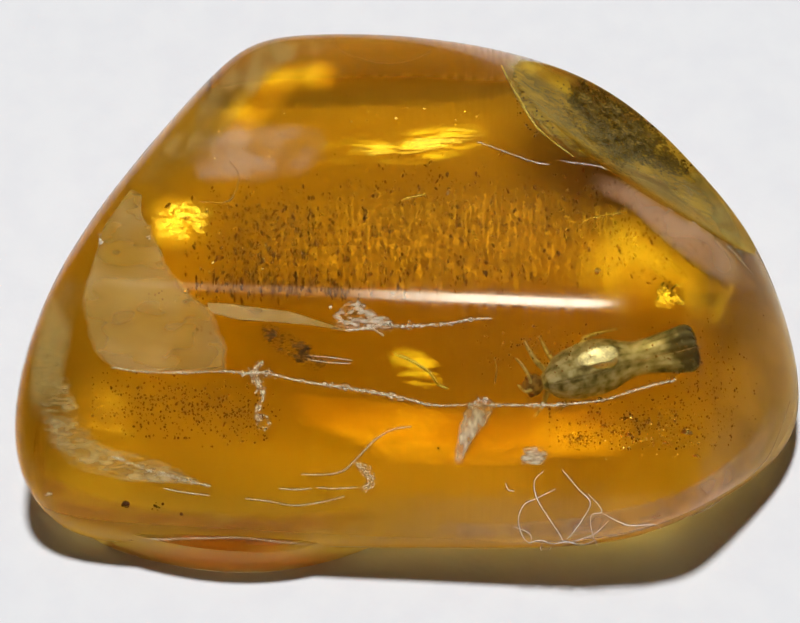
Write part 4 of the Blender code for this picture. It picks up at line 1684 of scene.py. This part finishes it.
SWARMS: tuple[Swarm, ...] = (
    Swarm("tar_streaks", TAR, (
        (270, 215, 60, 22, 240), (250, 250, 50, 25, 360), (330, 240, 60, 25, 280),
        (420, 220, 70, 30, 260), (520, 215, 60, 30, 200), (600, 225, 50, 25, 160),
        (300, 282, 80, 14, 240), (460, 270, 90, 16, 160), (640, 250, 50, 25, 160),
        (420, 180, 90, 20, 100), (600, 190, 40, 16, 60),
    ), (1.0, 3.5), (0.016, 0.050), stretch=3.0, seed=21),
    Swarm("tar_dots", TAR, (
        (170, 405, 60, 25, 520), (240, 420, 30, 20, 160), (640, 425, 70, 18, 420),
        (705, 380, 45, 50, 260), (540, 350, 60, 20, 120), (180, 299, 28, 10, 70), (197, 330, 10, 5, 30),
        (576, 440, 14, 7, 120),
    ), (0.5, 1.6), (0.018, 0.042), stretch=1.2, seed=22),
    Swarm("scar_crumbs", BARK, (
        (590, 98, 30, 16, 260), (640, 138, 26, 18, 320), (672, 164, 14, 9, 160), (548, 112, 24, 18, 140),
        (606, 134, 26, 14, 160),
    ), (0.04, 0.2), (0.015, 0.05), stretch=1.3, seed=23),
    Swarm("dark_spots", SPOT, (
        (125, 504, 2.6, 2.2, 60), (157, 506, 4, 3, 16), (181, 513, 1.5, 2, 6), (438, 448, 1, 1, 4),
    ), (0.3, 0.6), (0.02, 0.06), seed=24),
    Swarm("gold_sparks", GOLD, (
        (640, 438, 60, 16, 60), (240, 150, 50, 22, 30), (350, 108, 60, 10, 16), (455, 118, 30, 14, 10),
        (190, 214, 22, 14, 30), (230, 262, 60, 30, 30),
    ), (0.5, 1.0), (0.012, 0.035), flat=True, tilt=0.12, seed=27),
    Swarm("white_chips", PEARL, (
        (100, 240, 1.5, 5, 14), (149, 237, 1.5, 2, 5), (48, 493, 3, 2, 8), (330, 306, 1, 1, 4),
        (447, 192, 1, 1, 2), (485, 400, 8, 3, 12),
    ), (0.1, 0.3), (0.03, 0.06), flat=True, tilt=0.3, seed=25),
)

SPANGLES: tuple[Spangle, ...] = (
    Spangle(168, 204, .9, 0.35, 0.12, 35), Spangle(597, 270, 1.0, 0.3, 0.2, 60),
    Spangle(628, 433, .6, 0.25, 0.15, 0), Spangle(665, 441, .6, 0.25, 0.08, -30),
    Spangle(686, 431, .6, 0.5, 0.2, -20), Spangle(696, 455, .6, 0.4, 0.1, -30),
    Spangle(602, 425, .6, 0.2, 0.1, 0), Spangle(509, 81, .2, 0.3, 0.1, -60),
    Spangle(599, 398, .5, 0.3, 0.1, 10), Spangle(420, 366, .5, 0.5, 0.1, -38),
)

AIR_SHEEN = Spangle(597, 355, 1.68, 1.5, 0.62, 14, bend=0.08, crumple=0.01)

# painted highlight: thin pale lines just under the skin along the lower and right rims
RIM_HIGHLIGHT_LINES = Threads("painted_rim_highlights", RIM, (
    (.04, -.04, ((44, 508), (60, 520), (95, 533), (130, 540), (185, 538), (240, 537), (285, 542),
     (330, 546), (385, 544))),
    (.03, -.04, ((410, 543), (450, 544), (520, 543), (600, 537), (655, 525), (700, 511), (735, 488),
     (765, 460), (780, 430), (790, 400))),
), on_skin=True)

LINT_STRANDS = Threads("lint", LINT, (
    (.016, .05, ((543, 470), (534, 480, .1), (537, 496, .2), (549, 514, .25), (560, 531, .2),
     (562, 539))),
    (.016, .05, ((555, 488), (537, 495, .2), (525, 499, .3), (519, 510, .3), (519, 522, .2),
     (523, 535, .1), (531, 543))),
    (.018, .05, ((562, 469), (578, 486, .2), (590, 498, .3), (582, 514, .3), (570, 531, .2),
     (566, 537))),
    (.016, .3, ((588, 490), (598, 500), (601, 507), (592, 509), (590, 516), (592, 531, .1),
     (597, 545, .05))),
    (.016, .05, ((602, 508, .3), (619, 518, .2), (631, 523, .1), (654, 523), (661, 528))),
    (.016, .05, ((608, 515, .3), (594, 531, .1), (582, 537), (562, 543))),
    (.014, .1, ((513, 524), (529, 531), (531, 541, .05))),
    (.014, .05, ((543, 540), (540, 545, .1), (545, 549, .15), (551, 545))),
    (.014, .05, ((562, 539), (582, 541, .1), (592, 540))),
    (.014, .05, ((505, 482), (508, 488, .1), (514, 490))),
    (.016, .05, ((529, 541), (540, 537, .12), (552, 542), (566, 538, .14), (580, 543), (594, 538, .08))),
), on_skin=True)


# ------------------------------------------------------------------------- main


def report(*pieces: Piece) -> None:
    """Log each piece's name and size."""
    for piece in pieces:
        LOG.info("%s: %d faces", piece.name, len(piece.data.polygons))


def main() -> None:
    """Build the pieces in order."""
    logging.basicConfig(level=logging.INFO, format="%(name)s %(message)s")
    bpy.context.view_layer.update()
    deselect_all()
    view = Viewpoint()
    view.build()
    Studio().build()
    stone = Stone().build()
    sight = Sight(view, stone)
    report(stone, *Insect().build())
    for part in (*SHEETS, *TRAILS, *THREADS, *SWARMS, RIM_HIGHLIGHT_LINES, LINT_STRANDS):
        report(part.build(sight))
    for number, spangle in enumerate(SPANGLES, 1):
        report(spangle.build(f"spangle_{number}", sight, GOLD, number))
    report(AIR_SHEEN.build("insect_air_sheen", sight, SILVER, 31))
    deselect_all()


if __name__ == "__main__":
    main()
